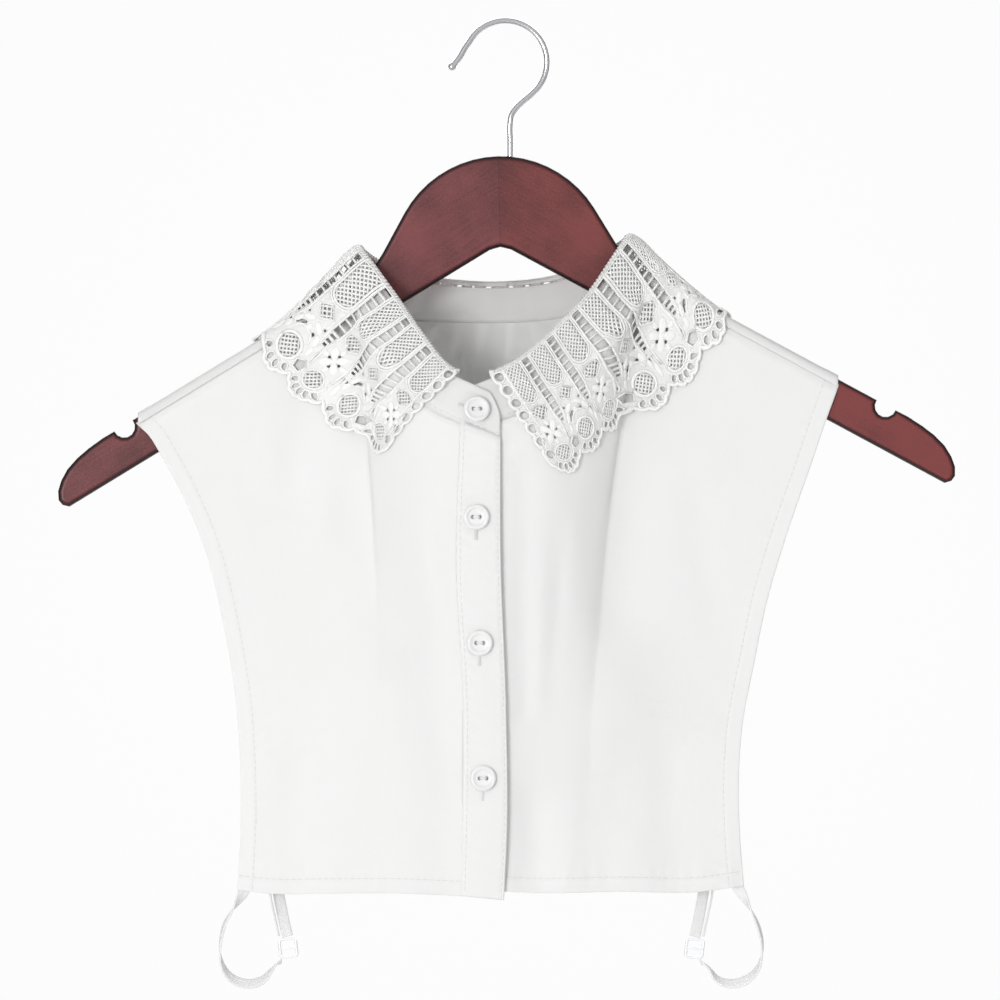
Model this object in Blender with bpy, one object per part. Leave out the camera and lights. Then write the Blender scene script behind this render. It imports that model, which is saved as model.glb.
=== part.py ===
"""A white half-blouse with a guipure lace collar, hung on a flat wooden hanger.

The garment is a dickey: two fronts, one back, a button placket and a collar stand with a lace leaf.
Elastic straps join the lower corners of the front and the back. Tables are in millimetres.
The origin is the inside top of the hook, +Z is up and the front faces -Y.
"""

import math
from typing import NamedTuple

import bmesh
import bpy
import numpy as np
from mathutils import Matrix, Vector
from mathutils.bvhtree import BVHTree
from mathutils.geometry import delaunay_2d_cdt

MM = 0.001
SEAM_GAP = 0.35
STAND_LIFT = 1.1
FOLD_GAP = 0.9
CLOTH = 1.2
CLOTH_GAP = 0.4

# Hanger
WOOD_THICK = 12.0
WOOD_EDGE = 2.4
WOOD_APEX = (-2.6, -109.0)
WOOD_ROLL = math.radians(1.55)
ARM_ANGLE = math.radians(29.85)
ARM_DEPTH = 20.2
NOTCH_ALONG = 206.0
NOTCH_UP = 19.5
NOTCH_RADIUS = 5.3
DOME_RADIUS = 54.4
DOME_DROP = -11.1
DOME_SPREAD = math.radians(60.0)
FILLET_RADIUS = 45.0
DOME_STEPS = 9
FILLET_STEPS = 4
NOTCH_FIRST = DOME_STEPS + FILLET_STEPS + 3
# The rounded end of an arm: along it and up from its lower edge.
ARM_END = (
    (218.0, 20.3),
    (226.6, 19.6),
    (234.0, 18.4),
    (241.0, 16.2),
    (246.5, 13.0),
    (250.5, 9.4),
    (252.6, 5.4),
    (252.2, 2.4),
    (249.8, 0.0),
)
WIRE = 2.8
HOOK_RADIUS = 20.5
HOLE_CLEARANCE = 0.35
STEM_X = 2.3
STEM_DEPTH = 11.0

# Placket and buttons
PLACKET_THICK = 1.8
PLACKET_STEP = 0.5
BUTTON_RADIUS = 6.35
BUTTON_THICK = 2.3
BUTTON_HOLE_RADIUS = 0.95
BUTTON_HOLE_SPREAD = 1.7
BUTTON_SIDES = 14

# Lace leaf
LACE = 1.2
LACE_ON_CLOTH = 2.1
ROLL_RADIUS = 1.6
ROLL_TURN = math.radians(115.0)
REPEATS = 24.3
FIRST_TONGUE = 0.65
BACK_SPLIT = 11.99
SPLIT_HALF = 0.018
LEAF_LONG = 64.0
SHOULDER_TURNS = ((3.2, 6.0), (16.6, 19.6))
PITCH = 17.5

# Elastic straps
ELASTIC_WIDE = 5.5
ELASTIC_THICK = 1.0
SLIDER_WIDE = 9.6
SLIDER_HIGH = 10.4
SLIDER_THICK = 1.6
SLIDER_BAR = 1.4


class RingStation(NamedTuple):
    """One place round the neck: a point on the neck seam and the stand's top edge above it.

    Where the seam crosses the hanger, seam_z is measured from the ridge of the cloth over the wood.
    """

    seam_x: float
    seam_y: float
    seam_z: float
    top_x: float
    top_y: float
    top_z: float
    over_wood: bool = False


# From the left front end, round the back, to the right front end, which lies under the left one.
NECK_RING = (
    RingStation(-2.5, -41.2, -205.0, -2.5, -40.6, -184.8),
    RingStation(-21.8, -41.0, -197.9, -15.4, -40.2, -179.2),
    RingStation(-41.0, -39.6, -188.0, -30.3, -38.4, -171.2),
    RingStation(-56.5, -35.5, -169.5, -43.5, -33.0, -155.0),
    RingStation(-67.5, -28.5, -154.0, -54.5, -24.5, -139.0),
    RingStation(-75.0, -17.5, -141.8, -64.5, -13.5, -124.5),
    RingStation(-76.3, -7.7, -5.6, -69.6, -6.4, -116.6, True),
    RingStation(-76.3, -6.4, -0.7, -70.8, -3.2, -114.4, True),
    RingStation(-76.3, 0.0, 0.0, -71.4, 0.8, -113.4, True),
    RingStation(-76.3, 6.4, -0.7, -71.0, 4.6, -114.0, True),
    RingStation(-76.3, 7.7, -4.6, -69.6, 8.6, -115.6, True),
    RingStation(-70.0, 16.0, -138.4, -62.6, 15.8, -120.2),
    RingStation(-50.7, 24.0, -145.0, -46.0, 23.5, -126.8),
    RingStation(-15.6, 28.5, -146.8, -14.0, 28.0, -130.3),
    RingStation(15.0, 28.0, -146.0, 14.0, 27.5, -129.3),
    RingStation(38.0, 23.5, -142.0, 34.0, 22.8, -124.5),
    RingStation(61.0, 15.4, -133.4, 51.4, 14.8, -114.8),
    RingStation(67.6, 7.7, -4.6, 58.6, 8.2, -110.2, True),
    RingStation(67.6, 6.4, -0.7, 60.0, 4.4, -108.8, True),
    RingStation(67.6, 0.0, 0.0, 60.4, 0.6, -108.2, True),
    RingStation(67.6, -6.4, -0.7, 60.0, -3.0, -109.0, True),
    RingStation(67.6, -7.7, -5.6, 58.4, -6.4, -111.6, True),
    RingStation(65.0, -17.0, -138.6, 52.0, -13.8, -121.8),
    RingStation(56.0, -28.0, -152.0, 42.6, -24.5, -135.8),
    RingStation(44.5, -35.0, -164.5, 31.8, -32.0, -147.5),
    RingStation(29.0, -38.2, -178.5, 18.4, -36.6, -160.5),
    RingStation(8.0, -39.0, -192.5, 2.0, -38.3, -172.0),
    RingStation(-20.0, -39.0, -200.5, -21.0, -38.3, -181.5),
)
LEFT_FRONT_ROW = 6
LEFT_BACK_ROW = 10
RIGHT_BACK_ROW = 17
RIGHT_FRONT_ROW = 21
PLACKET_ROW = 1


class Point(NamedTuple):
    """A point in millimetres."""

    x: float
    y: float
    z: float


# Edges of the panels, from the top down, on the outer side of the cloth.
LEFT_STITCH_LINE = (
    Point(-21.8, -41.0, -197.9),
    Point(-24.0, -37.0, -265.6),
    Point(-20.6, -31.5, -338.0),
    Point(-21.0, -25.0, -401.0),
    Point(-21.8, -22.0, -431.2),
)
PLACKET_EDGE = (
    Point(-2.4, -41.6, -205.6),
    Point(-2.2, -37.6, -265.6),
    Point(0.4, -32.0, -338.0),
    Point(0.8, -25.6, -401.0),
    Point(-0.7, -22.6, -433.2),
)
RIGHT_UNDER_EDGE = (
    Point(-19.0, -38.6, -201.2),
    Point(-19.0, -34.0, -265.6),
    Point(-16.5, -28.4, -338.0),
    Point(-16.0, -22.0, -401.0),
    Point(-17.0, -19.2, -428.0),
)
LEFT_SIDE = (
    Point(-181.6, -7.6, -198.4),
    Point(-176.3, -7.7, -204.0),
    Point(-170.7, -7.9, -213.0),
    Point(-159.6, -8.2, -233.4),
    Point(-147.9, -8.6, -262.2),
    Point(-139.8, -8.9, -295.3),
    Point(-134.0, -9.2, -328.5),
    Point(-131.2, -9.5, -362.0),
    Point(-130.7, -9.8, -391.0),
    Point(-132.4, -10.0, -428.6),
)
RIGHT_SIDE = (
    Point(164.4, -7.6, -179.8),
    Point(158.6, -7.8, -196.3),
    Point(150.7, -8.0, -219.6),
    Point(139.3, -8.3, -252.3),
    Point(129.4, -8.7, -285.4),
    Point(122.5, -9.1, -318.6),
    Point(117.4, -9.4, -345.0),
    Point(115.4, -9.6, -370.0),
    Point(115.7, -9.8, -398.0),
    Point(117.8, -10.0, -426.6),
)
LEFT_HEM = (
    Point(-21.8, -22.0, -431.2),
    Point(-52.2, -20.0, -430.0),
    Point(-90.0, -15.5, -430.2),
    Point(-115.6, -12.0, -430.4),
    Point(-132.4, -10.0, -428.6),
)
RIGHT_HEM = (
    Point(-17.0, -19.2, -428.0),
    Point(17.1, -20.5, -429.8),
    Point(55.0, -19.0, -429.2),
    Point(95.3, -13.0, -429.5),
    Point(117.8, -10.0, -426.6),
)
BACK_LEFT_SIDE = (
    Point(-181.6, 7.7, -197.2),
    Point(-172.5, 7.9, -214.0),
    Point(-152.0, 8.2, -262.0),
    Point(-136.5, 8.6, -300.0),
    Point(-127.0, 9.0, -330.0),
    Point(-121.5, 9.3, -362.0),
    Point(-119.0, 9.6, -391.0),
    Point(-118.5, 10.0, -424.5),
)
BACK_RIGHT_SIDE = (
    Point(164.4, 7.7, -178.6),
    Point(155.5, 7.9, -198.0),
    Point(134.5, 8.2, -252.0),
    Point(122.5, 8.6, -286.0),
    Point(114.0, 9.0, -319.0),
    Point(108.0, 9.3, -345.0),
    Point(105.0, 9.6, -385.0),
    Point(104.5, 10.0, -424.5),
)
BACK_HEM = (
    Point(-118.5, 10.0, -424.5),
    Point(-60.0, 13.5, -425.0),
    Point(-7.0, 15.0, -425.2),
    Point(46.0, 13.5, -425.0),
    Point(104.5, 10.0, -424.5),
)


class Crease(NamedTuple):
    """A soft fold along a line in the front view; a positive depth sinks in, a negative one stands out."""

    from_x: float
    from_z: float
    to_x: float
    to_z: float
    wide: float
    depth: float


FRONT_CREASES = (
    Crease(-101.0, -190.0, -107.0, -235.0, 9.0, 3.4),
    Crease(-84.0, -200.0, -90.0, -250.0, 8.0, -1.6),
    Crease(-66.0, -250.0, -50.0, -305.0, 14.0, 3.6),
    Crease(-50.0, -300.0, -26.0, -372.0, 11.0, 2.4),
    Crease(-64.0, -330.0, -70.0, -345.0, 24.0, -4.2),
    Crease(48.0, -328.0, 50.0, -342.0, 24.0, -4.6),
    Crease(8.5, -222.0, 9.0, -340.0, 6.0, 4.0),
    Crease(14.0, -385.0, 15.0, -425.0, 9.0, 2.4),
    Crease(62.0, -230.0, 56.0, -290.0, 14.0, 1.8),
    Crease(-152.0, -203.0, -128.0, -222.0, 8.0, 1.0),
    Crease(-100.0, -372.0, -104.0, -425.0, 12.0, 1.6),
    Crease(80.0, -365.0, 84.0, -425.0, 13.0, 1.6),
)
BACK_CREASES = (
    Crease(-62.0, -200.0, -52.0, -300.0, 14.0, 3.0),
    Crease(40.0, -195.0, 36.0, -310.0, 13.0, 2.8),
    Crease(-12.0, -250.0, -8.0, -380.0, 16.0, -2.6),
    Crease(-84.0, -330.0, -88.0, -422.0, 12.0, 1.8),
    Crease(72.0, -340.0, 74.0, -422.0, 12.0, 1.8),
)


class LeafTip(NamedTuple):
    """Where the lace leaf's outer edge lies at one repeat."""

    repeat: float
    x: float
    y: float
    z: float


LEAF_TIPS = (
    LeafTip(0.0, -69.0, -34.0, -219.0),
    LeafTip(0.65, -77.0, -32.0, -211.7),
    LeafTip(1.65, -90.8, -28.0, -198.3),
    LeafTip(2.65, -105.7, -22.0, -185.4),
    LeafTip(3.65, -119.0, -12.0, -169.5),
    LeafTip(4.4, -125.0, 0.0, -157.0),
    LeafTip(5.4, -122.0, 12.0, -167.0),
    LeafTip(6.6, -108.0, 16.0, -184.0),
    LeafTip(8.6, -70.0, 25.0, -194.0),
    LeafTip(10.8, -26.0, 29.0, -196.0),
    LeafTip(13.0, 18.0, 29.0, -194.0),
    LeafTip(15.0, 60.0, 24.0, -186.0),
    LeafTip(16.6, 93.0, 16.0, -173.0),
    LeafTip(17.4, 108.0, 12.0, -158.0),
    LeafTip(18.1, 112.0, 0.0, -145.0),
    LeafTip(18.8, 106.0, -12.0, -159.0),
    LeafTip(19.65, 92.4, -20.0, -177.0),
    LeafTip(20.65, 79.2, -26.0, -190.0),
    LeafTip(21.65, 63.0, -31.0, -202.0),
    LeafTip(22.65, 48.6, -34.0, -212.0),
    LeafTip(23.65, 35.6, -36.0, -222.6),
    LeafTip(24.3, 26.0, -37.0, -226.0),
)


class FoldMark(NamedTuple):
    """Which repeat stands at which row of the neck ring along the fold."""

    repeat: float
    row: float


FOLD_MARKS = (
    FoldMark(0.0, 1.55),
    FoldMark(1.65, 2.95),
    FoldMark(3.4, 4.5),
    FoldMark(5.2, 8.0),
    FoldMark(7.4, 11.6),
    FoldMark(11.4, 13.3),
    FoldMark(15.4, 15.25),
    FoldMark(17.8, 19.0),
    FoldMark(20.4, 23.0),
    FoldMark(22.4, 25.0),
    FoldMark(24.3, 26.45),
)


class Button(NamedTuple):
    """Where a button sits in the front view, and how far its face turns to the side and down."""

    x: float
    z: float
    turn: float
    tip: float


BUTTONS = (
    Button(-14.1, -191.2, 4.0, -8.0),
    Button(-14.3, -244.2, 0.0, 0.0),
    Button(-12.6, -306.2, 0.0, 0.0),
    Button(-11.0, -372.9, 0.0, 0.0),
)


class StrapPoint(NamedTuple):
    """A point of an elastic strap; at turn 0 its broad face looks forward, at 90 its edge does."""

    x: float
    y: float
    z: float
    turn: float


LEFT_LOOP = (
    StrapPoint(-126.6, -7.3, -421.0, 0.0),
    StrapPoint(-128.6, -7.2, -428.0, 0.0),
    StrapPoint(-131.4, -7.4, -433.0, 45.0),
    StrapPoint(-134.8, -7.8, -438.4, 90.0),
    StrapPoint(-138.4, -7.5, -444.6, 104.0),
    StrapPoint(-140.6, -7.0, -452.7, 100.0),
    StrapPoint(-141.1, -6.2, -460.2, 90.0),
    StrapPoint(-139.6, -5.4, -466.8, 68.0),
    StrapPoint(-136.2, -4.6, -471.8, 46.0),
    StrapPoint(-131.2, -3.8, -474.6, 34.0),
    StrapPoint(-125.5, -3.0, -475.2, 34.0),
    StrapPoint(-120.0, -2.0, -473.2, 46.0),
    StrapPoint(-116.4, -1.0, -469.2, 72.0),
    StrapPoint(-113.6, -0.2, -465.8, 90.0),
    StrapPoint(-111.0, 0.8, -464.2, 110.0),
)
RIGHT_LOOP = (
    StrapPoint(112.0, -7.3, -419.0, 0.0),
    StrapPoint(114.4, -7.2, -426.4, 0.0),
    StrapPoint(117.8, -7.4, -432.2, -45.0),
    StrapPoint(121.4, -7.8, -438.8, -90.0),
    StrapPoint(125.0, -7.5, -446.8, -104.0),
    StrapPoint(126.8, -7.0, -454.5, -100.0),
    StrapPoint(126.6, -6.2, -462.0, -88.0),
    StrapPoint(124.2, -5.4, -468.4, -62.0),
    StrapPoint(120.4, -4.6, -472.4, -42.0),
    StrapPoint(115.2, -3.8, -474.8, -34.0),
    StrapPoint(109.4, -3.0, -475.0, -38.0),
    StrapPoint(104.4, -2.0, -472.6, -58.0),
    StrapPoint(101.4, -1.0, -468.4, -80.0),
    StrapPoint(98.6, -0.2, -465.6, -90.0),
    StrapPoint(96.6, 0.8, -464.6, -110.0),
)
LEFT_STRAP = (
    StrapPoint(-114.0, 7.9, -417.0, 0.0),
    StrapPoint(-112.6, 7.6, -430.0, 0.0),
    StrapPoint(-110.4, 4.6, -441.0, 0.0),
    StrapPoint(-107.9, 1.2, -451.9, 0.0),
)
RIGHT_STRAP = (
    StrapPoint(99.6, 7.9, -417.0, 0.0),
    StrapPoint(98.2, 7.6, -430.0, 0.0),
    StrapPoint(96.2, 4.6, -441.0, 0.0),
    StrapPoint(93.8, 1.2, -452.1, 0.0),
)
LEFT_RETURN = (
    StrapPoint(-117.2, 5.0, -421.0, 90.0),
    StrapPoint(-116.6, 4.6, -431.0, 90.0),
    StrapPoint(-114.6, 3.6, -441.0, 90.0),
    StrapPoint(-112.2, 2.0, -451.6, 90.0),
)
RIGHT_RETURN = (
    StrapPoint(103.0, 5.0, -421.0, -90.0),
    StrapPoint(102.4, 4.6, -431.0, -90.0),
    StrapPoint(100.4, 3.6, -441.0, -90.0),
    StrapPoint(98.0, 2.0, -451.8, -90.0),
)


class Slider(NamedTuple):
    """Centre and lean of a strap slider."""

    x: float
    y: float
    z: float
    lean: float


SLIDERS = {
    "slider_left": Slider(-107.6, 1.2, -457.6, 6.0),
    "slider_right": Slider(93.6, 1.2, -457.8, -6.0),
}


def clear_scene():
    """Removes every object that the file starts with."""
    for obj in list(bpy.data.objects):
        bpy.data.objects.remove(obj, do_unlink=True)


def finish(name, colour, roughness, metallic=0.0):
    """Makes a Principled material."""
    material = bpy.data.materials.new(name)
    material.use_nodes = True
    shader = material.node_tree.nodes["Principled BSDF"]
    shader.inputs["Base Color"].default_value = (*colour, 1.0)
    shader.inputs["Roughness"].default_value = roughness
    shader.inputs["Metallic"].default_value = metallic
    return material


class Curve:
    """A smooth curve through points, read by its length share from 0 to 1 or by a marked value."""

    def __init__(self, points, marks=None):
        self.points = np.array(points, float)
        if marks is None:
            steps = np.linalg.norm(np.diff(self.points, axis=0), axis=1)
            marks = np.concatenate([[0.0], np.cumsum(steps)]) / steps.sum()
        self.marks = np.array(marks, float)
        self.slopes = np.gradient(self.points, self.marks, axis=0)

    def __call__(self, mark):
        mark = float(np.clip(mark, self.marks[0], self.marks[-1]))
        row = int(np.searchsorted(self.marks, mark, side="right")) - 1
        row = min(row, len(self.marks) - 2)
        span = self.marks[row + 1] - self.marks[row]
        u = (mark - self.marks[row]) / span
        blend = (2 * u**3 - 3 * u**2 + 1, -2 * u**3 + 3 * u**2)
        bend = (u**3 - 2 * u**2 + u, u**3 - u**2)
        return (
            blend[0] * self.points[row]
            + blend[1] * self.points[row + 1]
            + span * (bend[0] * self.slopes[row] + bend[1] * self.slopes[row + 1])
        )


def unit(vector):
    """The vector at length one."""
    return vector / max(float(np.linalg.norm(vector)), 1e-9)


def hanger_outline():
    """The right half of the hanger's outline in its own frame, from the dome's top to the lower apex."""
    along = Vector((math.cos(ARM_ANGLE), -math.sin(ARM_ANGLE)))
    up = Vector((math.sin(ARM_ANGLE), math.cos(ARM_ANGLE)))

    def on_arm(u, w):
        return along * u + up * w

    points = []
    for step in range(DOME_STEPS + 1):
        angle = DOME_SPREAD * step / DOME_STEPS
        across = DOME_RADIUS * math.sin(angle)
        points.append(Vector((across, DOME_DROP + DOME_RADIUS * math.cos(angle))))
    flank = Vector((math.cos(DOME_SPREAD), -math.sin(DOME_SPREAD)))
    corner = meeting(points[-1], flank, on_arm(0.0, ARM_DEPTH), along)
    half_turn = (DOME_SPREAD - ARM_ANGLE) / 2
    reach = FILLET_RADIUS * math.tan(half_turn)
    start = corner - flank * reach
    centre = start + Vector((math.sin(DOME_SPREAD), math.cos(DOME_SPREAD))) * FILLET_RADIUS
    for step in range(FILLET_STEPS + 1):
        angle = DOME_SPREAD - 2 * half_turn * step / FILLET_STEPS
        points.append(centre - Vector((math.sin(angle), math.cos(angle))) * FILLET_RADIUS)
    mouth = math.asin((ARM_DEPTH - NOTCH_UP) / NOTCH_RADIUS)
    notch_steps = 7
    for step in range(notch_steps + 1):
        angle = math.pi - mouth + (math.pi + 2 * mouth) * step / notch_steps
        across = NOTCH_ALONG + NOTCH_RADIUS * math.cos(angle)
        points.append(on_arm(across, NOTCH_UP + NOTCH_RADIUS * math.sin(angle)))
    points += [on_arm(u, w) for u, w in ARM_END]
    points += [on_arm(170.0, 0.0), on_arm(85.0, 0.0), on_arm(6.0, 0.0)]
    points.append(Vector((0.0, -1.6)))
    return points


def meeting(point, way, other, other_way):
    """Where two lines in the plane cross."""
    turn = way.x * other_way.y - way.y * other_way.x
    gap = other - point
    share = (gap.x * other_way.y - gap.y * other_way.x) / turn
    return point + way * share


def hanger_place(point):
    """Takes a point of the hanger's own frame into the part's front view."""
    turned = Matrix.Rotation(WOOD_ROLL, 2) @ point
    return turned + Vector(WOOD_APEX)


def hanger_top_line():
    """The wood's upper edge in the front view between the two notches, from left to right."""
    right = hanger_outline()[:NOTCH_FIRST]
    left = [Vector((-p.x, p.y)) for p in right[1:]]
    return sorted([tuple(hanger_place(p)) for p in right + left])


def hanger_top(x):
    """The height of the wood's upper edge in the front view at x."""
    return float(np.interp(x, [p[0] for p in HANGER_TOP], [p[1] for p in HANGER_TOP]))


def surface_normals(grid, hint):
    """Unit normals of a grid of points, on the side that the hint points to."""
    across = np.gradient(grid, axis=1)
    down = np.gradient(grid, axis=0)
    normals = np.cross(across, down)
    normals /= np.maximum(np.linalg.norm(normals, axis=2, keepdims=True), 1e-9)
    if (normals * hint(grid)).sum() < 0:
        normals = -normals
    return normals


def grid_faces(rows, columns, keep=None):
    """Quads of a grid, as point indices, leaving out those that keep refuses."""
    faces = []
    for row in range(rows - 1):
        for column in range(columns - 1):
            if keep is None or keep(row, column):
                first = row * columns + column
                faces.append((first, first + 1, first + columns + 1, first + columns))
    return faces


def build_mesh(name, points, faces, material, smooth_angle=40.0):
    """Makes an object from points in millimetres, with its faces turned outwards."""
    mesh = bpy.data.meshes.new(name)
    mesh.from_pydata([tuple(p * MM) for p in np.array(points, float)], [], faces)
    work = bmesh.new()
    work.from_mesh(mesh)
    loose = [v for v in work.verts if not v.link_faces]
    bmesh.ops.delete(work, geom=loose, context="VERTS")
    bmesh.ops.recalc_face_normals(work, faces=work.faces)
    work.to_mesh(mesh)
    work.free()
    mesh.materials.append(material)
    mesh.shade_smooth()
    mesh.set_sharp_from_angle(angle=math.radians(smooth_angle))
    obj = bpy.data.objects.new(name, mesh)
    bpy.context.scene.collection.objects.link(obj)
    return obj


def wall(name, outer, inner, faces, material):
    """A closed wall between an outer and an inner layer of the same faces, with rims at every free edge."""
    count = len(outer)
    uses = {}
    for face in faces:
        for a, b in zip(face, face[1:] + face[:1]):
            uses.setdefault((min(a, b), max(a, b)), []).append((a, b))
    rims = []
    for used in uses.values():
        if len(used) == 1:
            a, b = used[0]
            rims.append((b, a, a + count, b + count))
    back = [tuple(i + count for i in reversed(face)) for face in faces]
    return build_mesh(name, np.concatenate([outer, inner]), list(faces) + back + rims, material)


def crease_depth(x, z, creases):
    """How far the creases push the cloth inwards at a place of the front view."""
    depth = 0.0
    for crease in creases:
        start = np.array([crease.from_x, crease.from_z])
        way = np.array([crease.to_x, crease.to_z]) - start
        share = float(np.clip(np.dot(np.array([x, z]) - start, way) / np.dot(way, way), 0, 1))
        away = np.array([x, z]) - (start + way * share)
        depth += crease.depth * math.exp(-float(np.dot(away, away)) / crease.wide**2)
    return depth


def coons(top, bottom, start, end, across, down):
    """A grid of points stretched between four edges; across and down are shares from 0 to 1."""
    grid = np.zeros((len(down), len(across), 3))
    corners = (top(0.0), top(1.0), bottom(0.0), bottom(1.0))
    for row, t in enumerate(down):
        for column, s in enumerate(across):
            ruled = (1 - t) * top(s) + t * bottom(s) + (1 - s) * start(t) + s * end(t)
            flat = (1 - s) * (1 - t) * corners[0] + s * (1 - t) * corners[1]
            flat = flat + (1 - s) * t * corners[2] + s * t * corners[3]
            grid[row, column] = ruled - flat
    return grid


def chain(parts, breaks):
    """Several curves joined end to end, with the share at which each one ends."""

    def at(share):
        low = 0.0
        for part, high in zip(parts, breaks):
            if share <= high + 1e-9:
                return part((share - low) / (high - low))
            low = high
        return parts[-1](1.0)

    return at


def stretch(curve, first, last):
    """Part of a marked curve, read from 0 to 1."""
    return lambda share: curve(first + (last - first) * share)


def spaced(breaks, counts):
    """Shares from 0 to 1 with so many steps in each stretch between the breaks."""
    shares = [0.0]
    low = 0.0
    for high, count in zip(breaks, counts):
        shares += [low + (high - low) * (step + 1) / count for step in range(count)]
        low = high
    return shares


HANGER_TOP = hanger_top_line()


def ridge(x):
    """The height of the cloth's outer side over the hanger at x."""
    return hanger_top(x) + CLOTH_GAP + CLOTH


def seam_point(row):
    """The neck seam at a row of the ring, measured from the wood where it crosses it."""
    return (row.seam_x, row.seam_y, row.seam_z + (ridge(row.seam_x) if row.over_wood else 0.0))


ROWS = np.arange(len(NECK_RING), dtype=float)
SEAM = Curve([seam_point(row) for row in NECK_RING], ROWS)
STAND_TOP = Curve([row[3:6] for row in NECK_RING], ROWS)

# The shoulder wrap's section over the wood, from the seam in front to the back: y and drop from the ridge.
SHOULDER_SECTION = ((-7.7, 5.6), (-7.7, 2.9), (-6.4, 0.7), (-3.4, 0.0), (3.4, 0.0), (6.4, 0.7), (7.7, 2.9), (7.7, 4.6))
WRAP_LAST = len(SHOULDER_SECTION) - 1


def shoulder_line(neck_x, end_x, row):
    """One line along the shoulder at a row of the wrap's section, from the neck to the armhole."""
    y, drop = SHOULDER_SECTION[row]

    def at(share):
        x = neck_x + (end_x - neck_x) * share
        return np.array([x, y, ridge(x) - drop])

    return at


LEFT_NECK_X = -76.7
LEFT_END_X = -181.6
RIGHT_NECK_X = 68.0
RIGHT_END_X = 164.4
NECK_SHARE = 0.42


def from_top(point, table):
    """The curve of a panel's edge, starting from the end of its top edge."""
    return Curve([point, *table[1:]])


def front_grid(neck, neck_steps, shoulder, hem, opening, side):
    """The outer points of a front panel: columns from the opening to the side, rows from top to hem."""
    across = spaced((NECK_SHARE, 1.0), (neck_steps, 7))
    down = [(row / 18) ** 1.12 for row in range(19)]
    top = chain((neck, shoulder), (NECK_SHARE, 1.0))
    grid = coons(top, Curve(hem), from_top(top(0.0), opening), from_top(top(1.0), side), across, down)
    for row in range(grid.shape[0]):
        calm = min(1.0, 2.5 * down[row])
        for column in range(grid.shape[1]):
            x, _, z = grid[row, column]
            grid[row, column, 1] += calm * crease_depth(x, z, FRONT_CREASES)
    grid[..., 1] = np.minimum(grid[..., 1], -CLOTH_GAP - CLOTH - WOOD_THICK / 2)
    return grid


def front_left_grid():
    neck = stretch(SEAM, PLACKET_ROW, LEFT_FRONT_ROW)
    shoulder = shoulder_line(LEFT_NECK_X, LEFT_END_X, 0)
    steps = 2 * (LEFT_FRONT_ROW - PLACKET_ROW)
    return front_grid(lower(neck), steps, lower(shoulder), LEFT_HEM, LEFT_STITCH_LINE, LEFT_SIDE)


def front_right_grid():
    neck = stretch(SEAM, len(NECK_RING) - 1.0, RIGHT_FRONT_ROW)
    shoulder = shoulder_line(RIGHT_NECK_X, RIGHT_END_X, 0)
    steps = 2 * (len(NECK_RING) - 1 - RIGHT_FRONT_ROW)
    return front_grid(lower(neck), steps, lower(shoulder), RIGHT_HEM, RIGHT_UNDER_EDGE, RIGHT_SIDE)


def lower(curve):
    """A curve moved down by the gap of a seam."""
    return lambda share: curve(share) - np.array([0.0, 0.0, SEAM_GAP])


def back_grid():
    """The back's outer points: wrap rows over both shoulders, then rows down to the hem."""
    left_share = 0.3
    right_share = 0.7
    across = spaced((left_share, right_share, 1.0), (7, 12, 7))
    columns = len(across)
    left_columns = 8
    right_columns = columns - 8

    def left_line(row):
        line = shoulder_line(LEFT_NECK_X, LEFT_END_X, row)
        return lambda share: line(1.0 - share)

    def right_line(row):
        return shoulder_line(RIGHT_NECK_X, RIGHT_END_X, row)

    neck = lower(stretch(SEAM, LEFT_BACK_ROW, RIGHT_BACK_ROW))
    top = chain((left_line(WRAP_LAST), neck, right_line(WRAP_LAST)), (left_share, right_share, 1.0))
    down = [(row / 15) ** 1.15 for row in range(16)]
    left_side = from_top(top(0.0), BACK_LEFT_SIDE)
    right_side = from_top(top(1.0), BACK_RIGHT_SIDE)
    body = coons(top, Curve(BACK_HEM), left_side, right_side, across, down)
    for row in range(body.shape[0]):
        calm = min(1.0, 2.5 * down[row])
        for column in range(columns):
            x, _, z = body[row, column]
            body[row, column, 1] -= calm * crease_depth(x, z, BACK_CREASES)
    body[..., 1] = np.maximum(body[..., 1], CLOTH_GAP + CLOTH + WOOD_THICK / 2)
    wrap = np.zeros((WRAP_LAST, columns, 3))
    for row in range(WRAP_LAST):
        for column, share in enumerate(across):
            if column < left_columns:
                wrap[row, column] = left_line(row)(share / left_share)
            elif column >= right_columns:
                wrap[row, column] = right_line(row)((share - right_share) / (1.0 - right_share))
            else:
                wrap[row, column] = body[0, column] + np.array([0.0, 0.0, float(WRAP_LAST - row)])
    grid = np.concatenate([wrap, body])

    def keep(row, column):
        over_shoulder = column < left_columns - 1 or column >= right_columns
        return row >= WRAP_LAST or over_shoulder

    return grid, keep


def forward(grid):
    """Points to the front of the garment."""
    return np.broadcast_to(np.array([0.0, -1.0, 0.0]), grid.shape)


def outward(grid):
    """Points away from the middle of the neck."""
    return grid - np.array([-6.0, 0.0, -175.0])


def panel(name, grid, hint, material, thick=CLOTH, keep=None):
    """A cloth wall on a grid of outer points."""
    normals = surface_normals(grid, hint)
    rows, columns = grid.shape[:2]
    outer = grid.reshape(-1, 3)
    inner = (grid - normals * thick).reshape(-1, 3)
    return wall(name, outer, inner, grid_faces(rows, columns, keep), material)


def back_normals(grid):
    """Normals of the back, where the rows above the neck edge aren't part of the cloth."""
    normals = surface_normals(grid, outward)
    body = surface_normals(grid[WRAP_LAST:], outward)
    columns = grid.shape[1]
    for column in range(8, columns - 8):
        normals[WRAP_LAST:, column] = body[:, column]
    for column in (7, columns - 8):
        normals[WRAP_LAST + 1 :, column] = body[1:, column]
    return normals


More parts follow.
